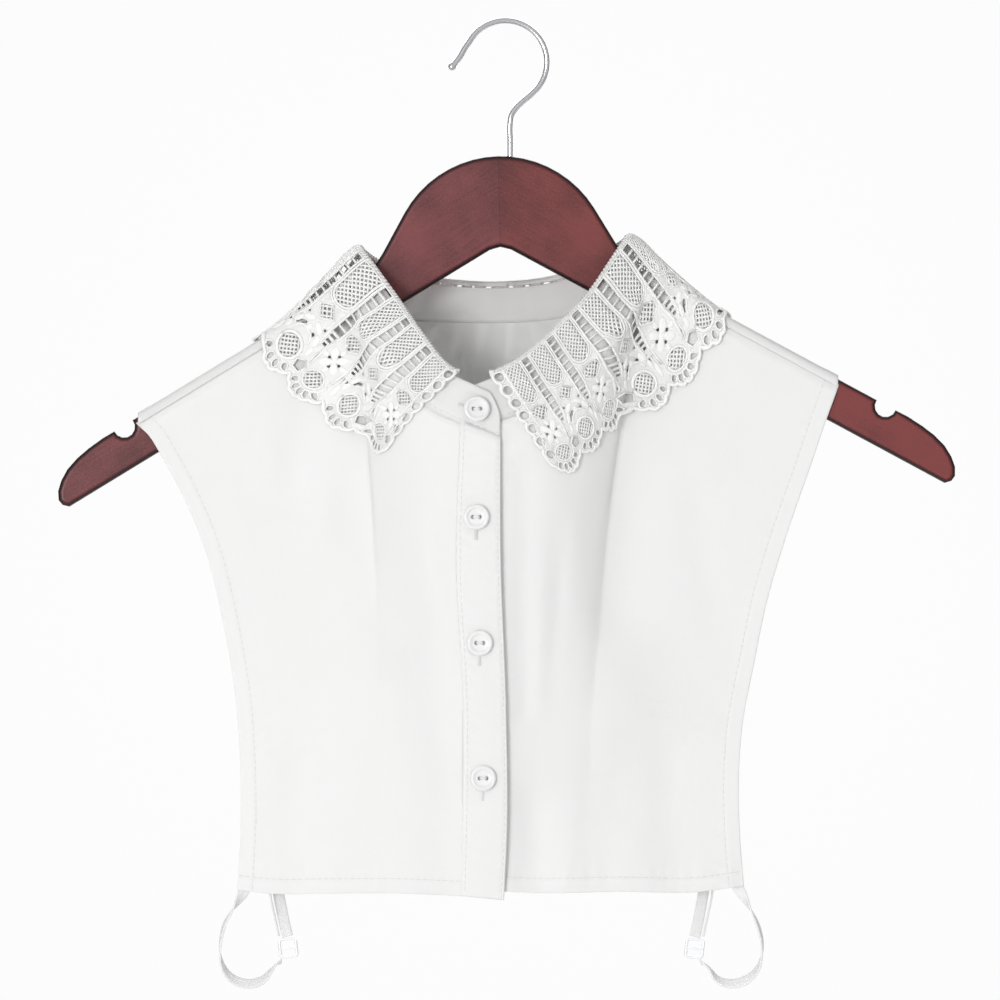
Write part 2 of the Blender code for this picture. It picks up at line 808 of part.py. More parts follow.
def placket_grid():
    """The placket's outer points, from the stitch line to its edge."""
    stitch = Curve([(x + SEAM_GAP, y - PLACKET_STEP, z) for x, y, z in LEFT_STITCH_LINE])
    edge = Curve([(x, y - 0.1, z) for x, y, z in PLACKET_EDGE])
    down = [row / 16 for row in range(17)]
    grid = np.zeros((len(down), 5, 3))
    for row, t in enumerate(down):
        for column in range(5):
            share = column / 4
            point = (1 - share) * stitch(t) + share * edge(t)
            point[1] -= 0.5 * math.sin(math.pi * share)
            grid[row, column] = point
    grid[0, :, 2] -= SEAM_GAP
    return grid


def stand_grid():
    """The collar stand's outer points; its left end is rounded at the top."""
    last = len(NECK_RING) - 1.0
    steps = 2 * (len(NECK_RING) - 1)
    rows = 4
    grid = np.zeros((rows, steps + 1, 3))
    for row in range(rows):
        up = 1.0 - row / (rows - 1)
        for column in range(steps + 1):
            mark = last * (column / steps)
            if column == 0:
                mark = 0.42 * max(0.0, up - 0.45) ** 2 / 0.3
            seam = SEAM(mark)
            top = STAND_TOP(mark)
            way = unit(top - seam)
            bottom = seam + way * STAND_LIFT
            grid[row, column] = bottom + (top - bottom) * up
    return grid


def stand_frame(mark):
    """At a mark of the ring: the stand's top point, its way up and its way outwards."""
    top = STAND_TOP(mark)
    up = unit(top - SEAM(mark))
    along = unit(STAND_TOP(mark + 0.05) - STAND_TOP(mark - 0.05))
    out = unit(np.cross(along, up))
    if np.dot(out, top - np.array([-6.0, 0.0, top[2]])) < 0:
        out = -out
    return top, up, out


LEAF_COLUMNS = 195
LEAF_ROWS = 30


def leaf_section(top, up, out, tip, lie):
    """The show side of the leaf at one repeat: over the roll, then down to the tip."""
    radius = ROLL_RADIUS + LACE
    centre = top + up * FOLD_GAP + out * ROLL_RADIUS
    arc = []
    for step in range(9):
        angle = ROLL_TURN * step / 8
        arc.append(centre + radius * (up * math.sin(angle) - out * math.cos(angle)))
    leave = out * math.sin(ROLL_TURN) + up * math.cos(ROLL_TURN)
    start = arc[-1]
    span = float(np.linalg.norm(tip - start))
    flat = tip - start
    flat = unit(flat - lie * np.dot(flat, lie))
    first = start + leave * span * 0.12
    second = tip - flat * span * 0.4
    points = list(arc)
    for step in range(1, 33):
        u = step / 32
        points.append(
            (1 - u) ** 3 * start + 3 * (1 - u) ** 2 * u * first + 3 * (1 - u) * u**2 * second + u**3 * tip
        )
    points = np.array(points)
    lengths = np.concatenate([[0.0], np.cumsum(np.linalg.norm(np.diff(points, axis=0), axis=1))])
    even = np.concatenate([np.linspace(0, 8.0, 9)[:-1], np.linspace(8.0, lengths[-1], LEAF_ROWS - 8)])
    return np.stack([np.interp(even, lengths, points[:, k]) for k in range(3)], axis=1)


def outer_quads(grid, hint, keep=None):
    """The quads of a grid, wound so that their normals point the way of the hint."""
    quads = grid_faces(*grid.shape[:2], keep)
    natural = np.cross(np.gradient(grid, axis=1), np.gradient(grid, axis=0))
    if (natural * hint(grid)).sum() < 0:
        quads = [tuple(reversed(quad)) for quad in quads]
    return quads


def tree_of(layers):
    """A search tree over the outer sides of several grids; each comes with its quads."""
    points = []
    faces = []
    for grid, quads in layers:
        base = len(points)
        points += [Vector(p) for p in grid.reshape(-1, 3)]
        faces += [tuple(i + base for i in quad) for quad in quads]
    return BVHTree.FromPolygons(points, faces)


def lift(point, tree, clear, snap=False):
    """Moves a point out of the cloth until it is clear of it; snap also brings it down to that distance."""
    place, normal, _, distance = tree.find_nearest(Vector(point))
    place, normal = np.array(place), np.array(normal)
    if np.dot(point - place, normal) <= 0:
        return place + normal * clear
    if snap or distance < clear:
        return place + unit(point - place) * clear
    return point


def leaf_grid(tree):
    """The show side of the lace leaf, columns along the repeats and rows from the stand to the tips."""
    tips = Curve([tip[1:] for tip in LEAF_TIPS], [tip.repeat for tip in LEAF_TIPS])
    marks = Curve([(mark.row,) for mark in FOLD_MARKS], [mark.repeat for mark in FOLD_MARKS])
    clear = LACE + LACE_ON_CLOTH
    grid = np.zeros((LEAF_ROWS, LEAF_COLUMNS, 3))
    for column in range(LEAF_COLUMNS):
        repeat = REPEATS * column / (LEAF_COLUMNS - 1)
        top, up, out = stand_frame(float(marks(repeat)[0]))
        tip = lift(tips(repeat), tree, clear, True)
        place, _, _, _ = tree.find_nearest(Vector(tip))
        lie = unit(tip - np.array(place))
        grid[:, column] = leaf_section(top, up, out, tip, lie)
    free = 9
    for _ in range(3):
        for row in range(free, LEAF_ROWS):
            for column in range(LEAF_COLUMNS):
                grid[row, column] = lift(grid[row, column], tree, clear)
        smooth = grid.copy()
        smooth[free:-1, 1:-1] = (
            0.5 * grid[free:-1, 1:-1]
            + 0.125 * (grid[free:-1, :-2] + grid[free:-1, 2:])
            + 0.125 * (grid[free - 1 : -2, 1:-1] + grid[free + 1 :, 1:-1])
        )
        grid = smooth
    for row in range(free, LEAF_ROWS):
        for column in range(LEAF_COLUMNS):
            grid[row, column] = lift(grid[row, column], tree, clear)
    return grid


def leaf_lengths(grid):
    """The share of the leaf's length at each row, averaged over the columns."""
    steps = np.linalg.norm(np.diff(grid, axis=0), axis=2).mean(axis=1)
    total = np.concatenate([[0.0], np.cumsum(steps)])
    return total / total[-1]


def read_grid(grid, row, column):
    """A grid's value between its points."""
    row = float(np.clip(row, 0, grid.shape[0] - 1.001))
    column = float(np.clip(column, 0, grid.shape[1] - 1.001))
    r, c = int(row), int(column)
    u, v = row - r, column - c
    return (
        (1 - u) * (1 - v) * grid[r, c]
        + (1 - u) * v * grid[r, c + 1]
        + u * (1 - v) * grid[r + 1, c]
        + u * v * grid[r + 1, c + 1]
    )


def ellipse(centre, across, along, sides, turn=0.0):
    """A closed outline in the lace's flat plan, where x runs along the repeats and y from the fold down."""
    points = []
    for side in range(sides):
        angle = turn + 2 * math.pi * side / sides
        points.append((centre[0] + across * math.cos(angle), centre[1] + along * math.sin(angle)))
    return points


def lace_holes():
    """Every hole that is cut through the lace, as outlines in the flat plan."""
    holes = []
    tongues = [FIRST_TONGUE + k for k in range(24)]
    ladder_rungs = 5
    for k, tongue in enumerate(tongues):
        ladder = (tongue + 0.5) * PITCH
        if k < 23:
            for rung in range(ladder_rungs):
                middle = 14.0 + 4.5 * rung
                holes.append(ellipse((ladder, middle), 2.9, 2.35, 4, math.pi / 4))
        if k % 2 == 0 and k < 23:
            holes.append(ellipse((ladder, 51.0), 3.1, 3.1, 5, math.pi / 2))
        for side in (-1, 1):
            centre = (tongue * PITCH + side * 3.1, 60.2)
            holes.append(ellipse(centre, 1.45, 1.9, 4, 0.0))
    for end in (0.0, REPEATS * PITCH):
        inward = 3.4 if end == 0.0 else -3.4
        for k in range(6):
            holes.append(ellipse((end + inward, 10.0 + 7.2 * k), 2.7, 2.7, 6, math.pi / 6))
    return holes


def scallop(repeat):
    """How far the leaf's outer edge reaches at a repeat, in millimetres from the stand."""
    phase = math.pi * (repeat - FIRST_TONGUE)
    reach = LEAF_LONG - 6.0 * (1.0 - abs(math.cos(phase)))
    from_end = min(repeat, REPEATS - repeat)
    if from_end < FIRST_TONGUE:
        corner = math.sqrt(max(0.0, 1.0 - (1.0 - from_end / FIRST_TONGUE) ** 2))
        reach = 52.0 + (LEAF_LONG - 52.0) * corner
    return reach


def turning(x):
    """True where the leaf turns over a shoulder."""
    return any(start < x / PITCH < end for start, end in SHOULDER_TURNS)


def plan_columns(low, high):
    """Where the plan has columns of points: half a repeat apart, and closer where the leaf turns a shoulder."""
    columns = []
    x = low + PITCH / 2
    while x < high - PITCH / 4:
        columns.append(x)
        x += PITCH / (6 if turning(x) else 2)
    return columns


def lace_plan(first, last):
    """Points and triangles of the lace in its flat plan between two repeats, with the holes left out."""
    low, high = first * PITCH, last * PITCH
    edge = [low]
    while edge[-1] < high - PITCH / 9:
        edge.append(edge[-1] + PITCH / (9 if turning(edge[-1]) else 6))
    edge[-1] = high
    fold_rows = (0.0, 1.5, 3.2, 5.2, 7.4, 11.0)
    outline = [(low, y) for y in (*fold_rows, 22.0, 33.0, 44.0)]
    outline += [(x, scallop(x / PITCH)) for x in edge]
    outline += [(high, y) for y in (44.0, 33.0, 22.0, *reversed(fold_rows))]
    inner_x = plan_columns(low, high)
    outline += [(x, 0.0) for x in reversed(inner_x)]
    holes = [hole for hole in lace_holes() if low < hole[0][0] < high]
    points = list(outline)
    edges = [(k, (k + 1) % len(outline)) for k in range(len(outline))]
    for hole in holes:
        base = len(points)
        points += hole
        edges += [(base + k, base + (k + 1) % len(hole)) for k in range(len(hole))]
    clear_of = [np.array(hole).mean(axis=0) for hole in holes]
    for y in (*fold_rows[1:], 17.0, 24.0, 31.0, 38.0, 46.0, 54.0):
        for x in inner_x:
            near = min((math.dist((x, y), tuple(c)) for c in clear_of), default=99.0)
            wanted = turning(x) or y != 31.0
            if wanted and near > 3.4 and y < scallop(x / PITCH) - 2.0:
                points.append((x, y))
    result = delaunay_2d_cdt([Vector(p) for p in points], edges, [], 0, 1e-5)
    plan, _, triangles = result[0], result[1], result[2]
    inside = [
        tri
        for tri in triangles
        if in_outline(middle_of(plan, tri), outline) and not any(in_outline(middle_of(plan, tri), h) for h in holes)
    ]
    return [tuple(p) for p in plan], [tuple(t) for t in inside]


def middle_of(points, face):
    """The middle of a face of the plan."""
    return (sum(points[i][0] for i in face) / len(face), sum(points[i][1] for i in face) / len(face))


def in_outline(point, outline):
    """True where a point of the plan lies inside an outline."""
    x, y = point
    inside = False
    for (ax, ay), (bx, by) in zip(outline, outline[1:] + outline[:1]):
        if (ay > y) != (by > y) and x < (bx - ax) * (y - ay) / (by - ay) + ax:
            inside = not inside
    return inside


def lace_half(name, first, last, grid, normals, material):
    """One half of the lace leaf, its plan laid on the leaf's surface."""
    plan, triangles = lace_plan(first, last)
    shares = leaf_lengths(grid)
    outer = []
    inner = []
    for x, y in plan:
        column = x / PITCH / REPEATS * (LEAF_COLUMNS - 1)
        row = float(np.interp(y / LEAF_LONG, shares, np.arange(LEAF_ROWS)))
        point = read_grid(grid, row, column)
        normal = unit(read_grid(normals, row, column))
        outer.append(point)
        inner.append(point - normal * LACE)
    return wall(name, np.array(outer), np.array(inner), triangles, material)


def leaf_normals(grid):
    """Normals of the leaf's show side."""
    return surface_normals(grid, outward_lace)


def outward_lace(grid):
    """Away from the body over the lower part of the leaf."""
    hint = grid - np.array([-6.0, 0.0, -190.0])
    hint[:12] = 0.0
    return hint


def button_mesh(material):
    """A two-hole shirt button with a rim, its face towards -Y and its back at y = 0."""
    profile = ((0.0, 0.0), (BUTTON_RADIUS * 0.86, 0.0), (BUTTON_RADIUS, 0.7), (BUTTON_RADIUS, 1.5))
    profile += ((BUTTON_RADIUS * 0.93, BUTTON_THICK), (BUTTON_RADIUS * 0.72, BUTTON_THICK), (BUTTON_RADIUS * 0.58, 1.7))
    work = bmesh.new()
    rings = []
    for radius, height in profile[1:]:
        ring = []
        for side in range(BUTTON_SIDES):
            angle = 2 * math.pi * side / BUTTON_SIDES
            place = (radius * math.cos(angle) * MM, -height * MM, radius * math.sin(angle) * MM)
            ring.append(work.verts.new(place))
        rings.append(ring)
    for low, high in zip(rings, rings[1:]):
        for side in range(BUTTON_SIDES):
            after = (side + 1) % BUTTON_SIDES
            work.faces.new((low[side], low[after], high[after], high[side]))
    work.faces.new(rings[0])
    work.faces.new(rings[-1])
    bmesh.ops.recalc_face_normals(work, faces=work.faces)
    mesh = bpy.data.meshes.new("button")
    work.to_mesh(mesh)
    work.free()
    mesh.materials.append(material)
    return mesh


def rod(name, start, end, radius, sides=8):
    """A cutter: a round bar between two points in millimetres."""
    start, end = Vector(start) * MM, Vector(end) * MM
    work = bmesh.new()
    bmesh.ops.create_cone(
        work, cap_ends=True, segments=sides, radius1=radius * MM, radius2=radius * MM, depth=(end - start).length
    )
    turn = (end - start).to_track_quat("Z", "Y").to_matrix().to_4x4()
    bmesh.ops.transform(work, matrix=Matrix.Translation((start + end) / 2) @ turn, verts=work.verts)
    mesh = bpy.data.meshes.new(name)
    work.to_mesh(mesh)
    work.free()
    obj = bpy.data.objects.new(name, mesh)
    bpy.context.scene.collection.objects.link(obj)
    obj.hide_render = True
    obj.display_type = "WIRE"
    return obj


def cut(obj, cutter):
    """Takes the cutter's shape out of an object."""
    modifier = obj.modifiers.new("cut", "BOOLEAN")
    modifier.operation = "DIFFERENCE"
    modifier.object = cutter


def make_buttons(tree, material):
    """Four buttons on the stand and the placket, 0.3 mm proud of the cloth."""
    holes = []
    for side in (-1, 1):
        place = (side * BUTTON_HOLE_SPREAD, 2.0, 0.0)
        holes.append(rod(f"button_hole_{side + 2}", place, (place[0], -4.0, 0.0), BUTTON_HOLE_RADIUS))
    for number, button in enumerate(BUTTONS, start=1):
        obj = bpy.data.objects.new(f"button_{number}", button_mesh(material))
        bpy.context.scene.collection.objects.link(obj)
        place, _, _, _ = tree.ray_cast(Vector((button.x, -200.0, button.z)), Vector((0.0, 1.0, 0.0)))
        turn = Matrix.Rotation(math.radians(button.turn), 4, "Z") @ Matrix.Rotation(math.radians(button.tip), 4, "X")
        seat = place + Vector((0.0, -CLOTH_GAP - 0.2 - abs(button.tip) * 0.09 - abs(button.turn) * 0.09, 0.0))
        obj.matrix_world = Matrix.Translation(seat * MM) @ turn
        for hole in holes:
            mine = hole.copy()
            mine.parent = obj
            bpy.context.scene.collection.objects.link(mine)
            cut(obj, mine)
    for hole in holes:
        bpy.data.objects.remove(hole, do_unlink=True)


def make_strap(name, table, material, steps=26):
    """A flat elastic strap swept along its points, turning as the table says."""
    curve = Curve([row[:3] for row in table])
    turns = Curve([(row.turn,) for row in table], curve.marks)
    points = []
    for step in range(steps + 1):
        share = step / steps
        ahead = curve(min(1.0, share + 0.01)) - curve(max(0.0, share - 0.01))
        along = unit(ahead)
        beside = unit(np.cross(along, np.array([0.0, 1.0, 0.0])))
        front = np.cross(beside, along)
        angle = math.radians(float(turns(share)[0]))
        broad = beside * math.cos(angle) + front * math.sin(angle)
        face = np.cross(broad, along)
        middle = curve(share)
        for wide, thick in ((-1, -1), (1, -1), (1, 1), (-1, 1)):
            points.append(middle + broad * wide * ELASTIC_WIDE / 2 + face * thick * ELASTIC_THICK / 2)
    faces = [(3, 2, 1, 0), tuple(steps * 4 + k for k in range(4))]
    for step in range(steps):
        for side in range(4):
            a = step * 4 + side
            b = step * 4 + (side + 1) % 4
            faces.append((a, b, b + 4, a + 4))
    return build_mesh(name, points, faces, material)


def make_slider(name, place, material):
    """A moulded strap slider: a frame with a middle bar and two windows."""
    half_w, half_h = SLIDER_WIDE / 2, SLIDER_HIGH / 2
    edges_x = (-half_w, -half_w + SLIDER_BAR, half_w - SLIDER_BAR, half_w)
    edges_z = (half_h, half_h - SLIDER_BAR, SLIDER_BAR / 2, -SLIDER_BAR / 2, -half_h + SLIDER_BAR, -half_h)
    points = []
    lean = Matrix.Rotation(math.radians(-place.lean), 4, "Y")
    for z in edges_z:
        for x in edges_x:
            corner = abs(x) == half_w and abs(z) == half_h
            pull = 0.86 if corner else 1.0
            turned = lean @ Vector((x * pull, 0.0, z * pull))
            points.append(np.array(turned) + np.array(place[:3]))
    grid = np.array(points).reshape(6, 4, 3)
    grid[..., 1] -= SLIDER_THICK / 2

    def keep(row, column):
        return not (column == 1 and row in (1, 3))

    shift = np.array([0.0, SLIDER_THICK, 0.0])
    outer = grid.reshape(-1, 3)
    return wall(name, outer, outer + shift, grid_faces(6, 4, keep), material)


def make_hanger(material):
    """The flat hanger: its outline with rounded edges, and the hole for the hook's stem."""
    right = hanger_outline()
    left = [Vector((-p.x, p.y)) for p in reversed(right[1:-1])]
    outline = right + left
    count = len(outline)
    inward = []
    for k, point in enumerate(outline):
        before, after = outline[k - 1], outline[(k + 1) % count]
        one, two = (point - before).normalized(), (after - point).normalized()
        normal_one, normal_two = Vector((one.y, -one.x)), Vector((two.y, -two.x))
        middle = (normal_one + normal_two).normalized()
        inward.append(middle / max(0.55, middle.dot(normal_one)))
    half = WOOD_THICK / 2
    section = ((half, WOOD_EDGE), (half - 0.3 * WOOD_EDGE, 0.3 * WOOD_EDGE), (half - WOOD_EDGE, 0.0))
    section += tuple((-y, inset) for y, inset in reversed(section))
    points = []
    for y, inset in section:
        for point, way in zip(outline, inward):
            place = hanger_place(point + way * inset)
            points.append(np.array([place.x, y, place.y]))
    faces = [tuple(range(count)), tuple(reversed(range((len(section) - 1) * count, len(section) * count)))]
    for ring in range(len(section) - 1):
        for k in range(count):
            after = (k + 1) % count
            base = ring * count
            faces.append((base + k, base + after, base + count + after, base + count + k))
    hanger = build_mesh("hanger_body", points, faces, material)
    low = WOOD_APEX[1] + DOME_RADIUS + DOME_DROP - STEM_DEPTH - 1.0
    hole = rod("stem_hole", (STEM_X, 0.0, low), (STEM_X, 0.0, -50.0), WIRE / 2 + HOLE_CLEARANCE, 12)
    cut(hanger, hole)
    return hanger


def make_hook(material):
    """The wire hook: stem, bend, round hook and a small ball at its tip."""
    centre_z = -HOOK_RADIUS + WIRE / 2
    stem_low = WOOD_APEX[1] + DOME_RADIUS + DOME_DROP - STEM_DEPTH
    start_angle = -51.0
    end_angle = 152.0
    arc_steps = 22
    places = [(STEM_X, stem_low, 1.0), (STEM_X, -58.0, 1.0), (STEM_X, -49.0, 1.0)]
    places += [(2.9, -45.5, 1.0), (5.0, -42.2, 1.0), (8.4, -38.8, 1.0)]
    for step in range(arc_steps + 1):
        angle = math.radians(start_angle + (end_angle - start_angle) * step / arc_steps)
        places.append((HOOK_RADIUS * math.cos(angle), centre_z + HOOK_RADIUS * math.sin(angle), 1.0))
    places += [(-20.4, -12.8, 1.0), (-22.6, -16.8, 1.0), (-24.4, -19.0, 1.0)]
    ball = 2.0
    ball_x, ball_z = -26.4, -21.3
    way = Vector((ball_x + 24.4, ball_z + 19.0)).normalized()
    for share in (-0.7, -0.35, 0.0, 0.4, 0.75, 0.97):
        radius = ball * math.sqrt(max(0.02, 1.0 - share**2)) / (WIRE / 2)
        places.append((ball_x + way.x * ball * share, ball_z + way.y * ball * share, radius))
    data = bpy.data.curves.new("hanger_hook", "CURVE")
    data.dimensions = "3D"
    data.bevel_depth = WIRE / 2 * MM
    data.bevel_resolution = 3
    data.use_fill_caps = True
    spline = data.splines.new("POLY")
    spline.points.add(len(places) - 1)
    for point, (x, z, radius) in zip(spline.points, places):
        point.co = (x * MM, 0.0, z * MM, 1.0)
        point.radius = radius
    data.materials.append(material)
    obj = bpy.data.objects.new("hanger_hook", data)
    bpy.context.scene.collection.objects.link(obj)
    return obj


def main():
    clear_scene()
    wood = finish("wood", (0.2, 0.055, 0.055), 0.35)
    steel = finish("hook_steel", (0.6, 0.6, 0.62), 0.2, 1.0)
    cloth = finish("blouse_cloth", (0.88, 0.88, 0.88), 0.85)
    lace = finish("lace", (0.9, 0.9, 0.89), 0.8)
    pearl = finish("button", (0.88, 0.88, 0.87), 0.3)
    elastic = finish("elastic", (0.85, 0.85, 0.85), 0.8)
    plastic = finish("slider", (0.86, 0.86, 0.87), 0.25)

    make_hanger(wood)
    make_hook(steel)
    left = front_left_grid()
    right = front_right_grid()
    back, keep = back_grid()
    placket = placket_grid()
    stand = stand_grid()
    panel("front_left", left, forward, cloth)
    panel("front_right", right, forward, cloth)
    panel("placket", placket, forward, cloth, PLACKET_THICK)
    panel("collar_stand", stand, outward, cloth)
    normals = back_normals(back)
    rows, columns = back.shape[:2]
    outer = back.reshape(-1, 3)
    inner = (back - normals * CLOTH).reshape(-1, 3)
    wall("back", outer, inner, grid_faces(rows, columns, keep), cloth)

    fronts = [(grid, outer_quads(grid, forward)) for grid in (left, right, placket)]
    fronts.append((stand, outer_quads(stand, outward)))
    body_tree = tree_of([*fronts, (back, outer_quads(back, outward, keep))])
    leaf = leaf_grid(body_tree)
    show = leaf_normals(leaf)
    lace_half("lace_collar_left", 0.0, BACK_SPLIT - SPLIT_HALF, leaf, show, lace)
    lace_half("lace_collar_right", BACK_SPLIT + SPLIT_HALF, REPEATS, leaf, show, lace)

    make_buttons(tree_of(fronts[2:]), pearl)
    make_strap("strap_loop_left", LEFT_LOOP, elastic)
    make_strap("strap_loop_right", RIGHT_LOOP, elastic)
    make_strap("strap_back_left", LEFT_STRAP, elastic, 8)
    make_strap("strap_back_right", RIGHT_STRAP, elastic, 8)
    make_strap("strap_return_left", LEFT_RETURN, elastic, 8)
    make_strap("strap_return_right", RIGHT_RETURN, elastic, 8)
    for name, place in SLIDERS.items():
        make_slider(name, place, plastic)


main()
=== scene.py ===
"""Looks for the white half-blouse with a lace collar on its wooden hanger.

Lengths are in millimetres until a mesh is made. The front faces -Y, and the origin is the inside top of the
hook.
"""

import math
from typing import NamedTuple

import bpy
import numpy as np
from mathutils import Matrix, Vector, noise
from mathutils.bvhtree import BVHTree
from mathutils.geometry import delaunay_2d_cdt


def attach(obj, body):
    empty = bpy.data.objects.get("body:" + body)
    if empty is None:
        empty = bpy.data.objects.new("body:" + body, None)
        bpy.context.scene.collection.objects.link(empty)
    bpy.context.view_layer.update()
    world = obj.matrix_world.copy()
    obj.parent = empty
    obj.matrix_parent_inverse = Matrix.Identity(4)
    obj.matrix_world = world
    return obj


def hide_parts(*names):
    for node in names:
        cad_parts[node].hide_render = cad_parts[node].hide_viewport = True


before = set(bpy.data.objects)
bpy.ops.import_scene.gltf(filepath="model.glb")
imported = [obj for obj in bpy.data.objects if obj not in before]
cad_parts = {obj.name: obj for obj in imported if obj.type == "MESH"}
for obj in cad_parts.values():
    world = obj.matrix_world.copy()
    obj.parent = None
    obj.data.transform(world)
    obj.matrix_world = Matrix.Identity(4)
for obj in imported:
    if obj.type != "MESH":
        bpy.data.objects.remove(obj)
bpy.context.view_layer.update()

MM = 0.001
SEAM_GAP = 0.35
STAND_LIFT = 1.1
FOLD_GAP = 0.9
CLOTH = 1.2
CLOTH_GAP = 0.4

# Hanger
WOOD_THICK = 12.0
WOOD_EDGE = 2.4
WOOD_APEX = (-2.6, -109.0)
WOOD_ROLL = math.radians(1.55)
ARM_ANGLE = math.radians(29.85)
ARM_DEPTH = 20.2
NOTCH_ALONG = 206.0
NOTCH_UP = 19.5
NOTCH_RADIUS = 5.3
DOME_RADIUS = 54.4
DOME_DROP = -11.1
DOME_SPREAD = math.radians(60.0)
FILLET_RADIUS = 45.0
DOME_STEPS = 9
FILLET_STEPS = 4
NOTCH_FIRST = DOME_STEPS + FILLET_STEPS + 3
# The rounded end of an arm: along it and up from its lower edge.
ARM_END = (
    (218.0, 20.3), (226.6, 19.6), (234.0, 18.4), (241.0, 16.2), (246.5, 13.0), (250.5, 9.4), (252.6, 5.4),
    (252.2, 2.4), (249.8, 0.0),
)
WIRE = 2.8
HOOK_RADIUS = 20.5
HOLE_CLEARANCE = 0.35
STEM_X = 2.3
STEM_DEPTH = 11.0

# Placket and buttons
PLACKET_STEP = 0.5
BUTTON_HOLE_RADIUS = 0.95
BUTTON_HOLE_SPREAD = 1.7
SATIN_WIDE = 1.9
SATIN_STEP = 0.42

# Lace leaf
LACE = 1.2
LACE_ON_CLOTH = 2.1
ROLL_RADIUS = 1.6
ROLL_TURN = math.radians(115.0)
REPEATS = 24.3
FIRST_TONGUE = 0.65
BACK_SPLIT = 11.99
SPLIT_HALF = 0.018
LEAF_LONG = 64.0
PITCH = 17.5

# Elastic straps
SLIDER_WIDE = 9.6
SLIDER_HIGH = 10.4
SLIDER_THICK = 1.6
SLIDER_BAR = 1.4

# How fine the shown surfaces are, and the cloth's own thickness
SHIRTING = 0.5
INTERFACED = 1.0
LACE_GROUND = 0.4
BAND_WIDE = 8.4
HEM_WIDE = 8.2
STITCH_LONG = 2.4
STITCH_GAP = 0.9
THREAD = 0.17
FOLD_Y = 5.0
NET_STEP = 1.42
NET_THREAD = 0.43
NET_PIECE = 2.8
CORD = 0.48
EDGE_CORD = 0.8
NOTCH_DEEP = 4.6
LOBE_DEEP = 1.0
LACE_SETTLES = 1.3
STRIP_HOLES = 7
STRIP_FIRST = 9.2
STRIP_STEP = 7.1
TONGUES = 24
RUNGS = 8
RUNG_STEP = 3.5
RUNG_FIRST = 8.6


def named(kind, *rows):
    """A table whose rows are of one named kind."""
    return tuple(kind(*row) for row in rows)


class RingStation(NamedTuple):
    """One place round the neck: a point on the neck seam and the stand's top edge above it.

    Where the seam crosses the hanger, seam_z is measured from the ridge of the cloth over the wood.
    """

    seam_x: float
    seam_y: float
    seam_z: float
    top_x: float
    top_y: float
    top_z: float
    over_wood: bool = False


# From the left front end, round the back, to the right front end, which lies under the left one.
NECK_RING = named(
    RingStation,
    (-2.5, -41.2, -205.0, -2.5, -40.6, -184.8), (-21.8, -41.0, -197.9, -15.4, -40.2, -179.2),
    (-41.0, -39.6, -188.0, -30.3, -38.4, -171.2), (-56.5, -35.5, -169.5, -43.5, -33.0, -155.0),
    (-67.5, -28.5, -154.0, -54.5, -24.5, -139.0), (-75.0, -17.5, -141.8, -64.5, -13.5, -124.5),
    (-76.3, -7.7, -5.6, -69.6, -6.4, -116.6, True), (-76.3, -6.4, -0.7, -70.8, -3.2, -114.4, True),
    (-76.3, 0.0, 0.0, -71.4, 0.8, -113.4, True), (-76.3, 6.4, -0.7, -71.0, 4.6, -114.0, True),
    (-76.3, 7.7, -4.6, -69.6, 8.6, -115.6, True), (-70.0, 16.0, -138.4, -62.6, 15.8, -120.2),
    (-50.7, 24.0, -145.0, -46.0, 23.5, -126.8), (-15.6, 28.5, -146.8, -14.0, 28.0, -130.3),
    (15.0, 28.0, -146.0, 14.0, 27.5, -129.3), (38.0, 23.5, -142.0, 34.0, 22.8, -124.5),
    (61.0, 15.4, -133.4, 51.4, 14.8, -114.8), (67.6, 7.7, -4.6, 58.6, 8.2, -110.2, True),
    (67.6, 6.4, -0.7, 60.0, 4.4, -108.8, True), (67.6, 0.0, 0.0, 60.4, 0.6, -108.2, True),
    (67.6, -6.4, -0.7, 60.0, -3.0, -109.0, True), (67.6, -7.7, -5.6, 58.4, -6.4, -111.6, True),
    (65.0, -17.0, -138.6, 52.0, -13.8, -121.8), (56.0, -28.0, -152.0, 42.6, -24.5, -135.8),
    (44.5, -35.0, -164.5, 31.8, -32.0, -147.5), (29.0, -38.2, -178.5, 18.4, -36.6, -160.5),
    (8.0, -39.0, -192.5, 2.0, -38.3, -172.0), (-20.0, -39.0, -200.5, -21.0, -38.3, -181.5),
)
# The middle of the neck, across the front view.
NECK_X = -6.0
LEFT_FRONT_ROW = 6
LEFT_BACK_ROW = 10
RIGHT_BACK_ROW = 17
RIGHT_FRONT_ROW = 21
PLACKET_ROW = 1


# Edges of the panels, from the top down, on the outer side of the cloth.
LEFT_STITCH_LINE = (
    (-21.8, -41.0, -197.9), (-24.0, -37.0, -265.6), (-20.6, -31.5, -338.0), (-21.0, -25.0, -401.0),
    (-21.8, -22.0, -431.2),
)
PLACKET_EDGE = (
    (-2.4, -41.6, -205.6), (-2.2, -37.6, -265.6), (0.4, -32.0, -338.0), (0.8, -25.6, -401.0),
    (-0.7, -22.6, -433.2),
)
RIGHT_UNDER_EDGE = (
    (-19.0, -38.6, -201.2), (-19.0, -34.0, -265.6), (-16.5, -28.4, -338.0), (-16.0, -22.0, -401.0),
    (-17.0, -19.2, -428.0),
)
LEFT_SIDE = (
    (-181.6, -7.6, -198.4), (-176.3, -7.7, -204.0), (-170.7, -7.9, -213.0), (-159.6, -8.2, -233.4),
    (-147.9, -8.6, -262.2), (-139.8, -8.9, -295.3), (-134.0, -9.2, -328.5), (-131.2, -9.5, -362.0),
    (-130.7, -9.8, -391.0), (-132.4, -10.0, -428.6),
)
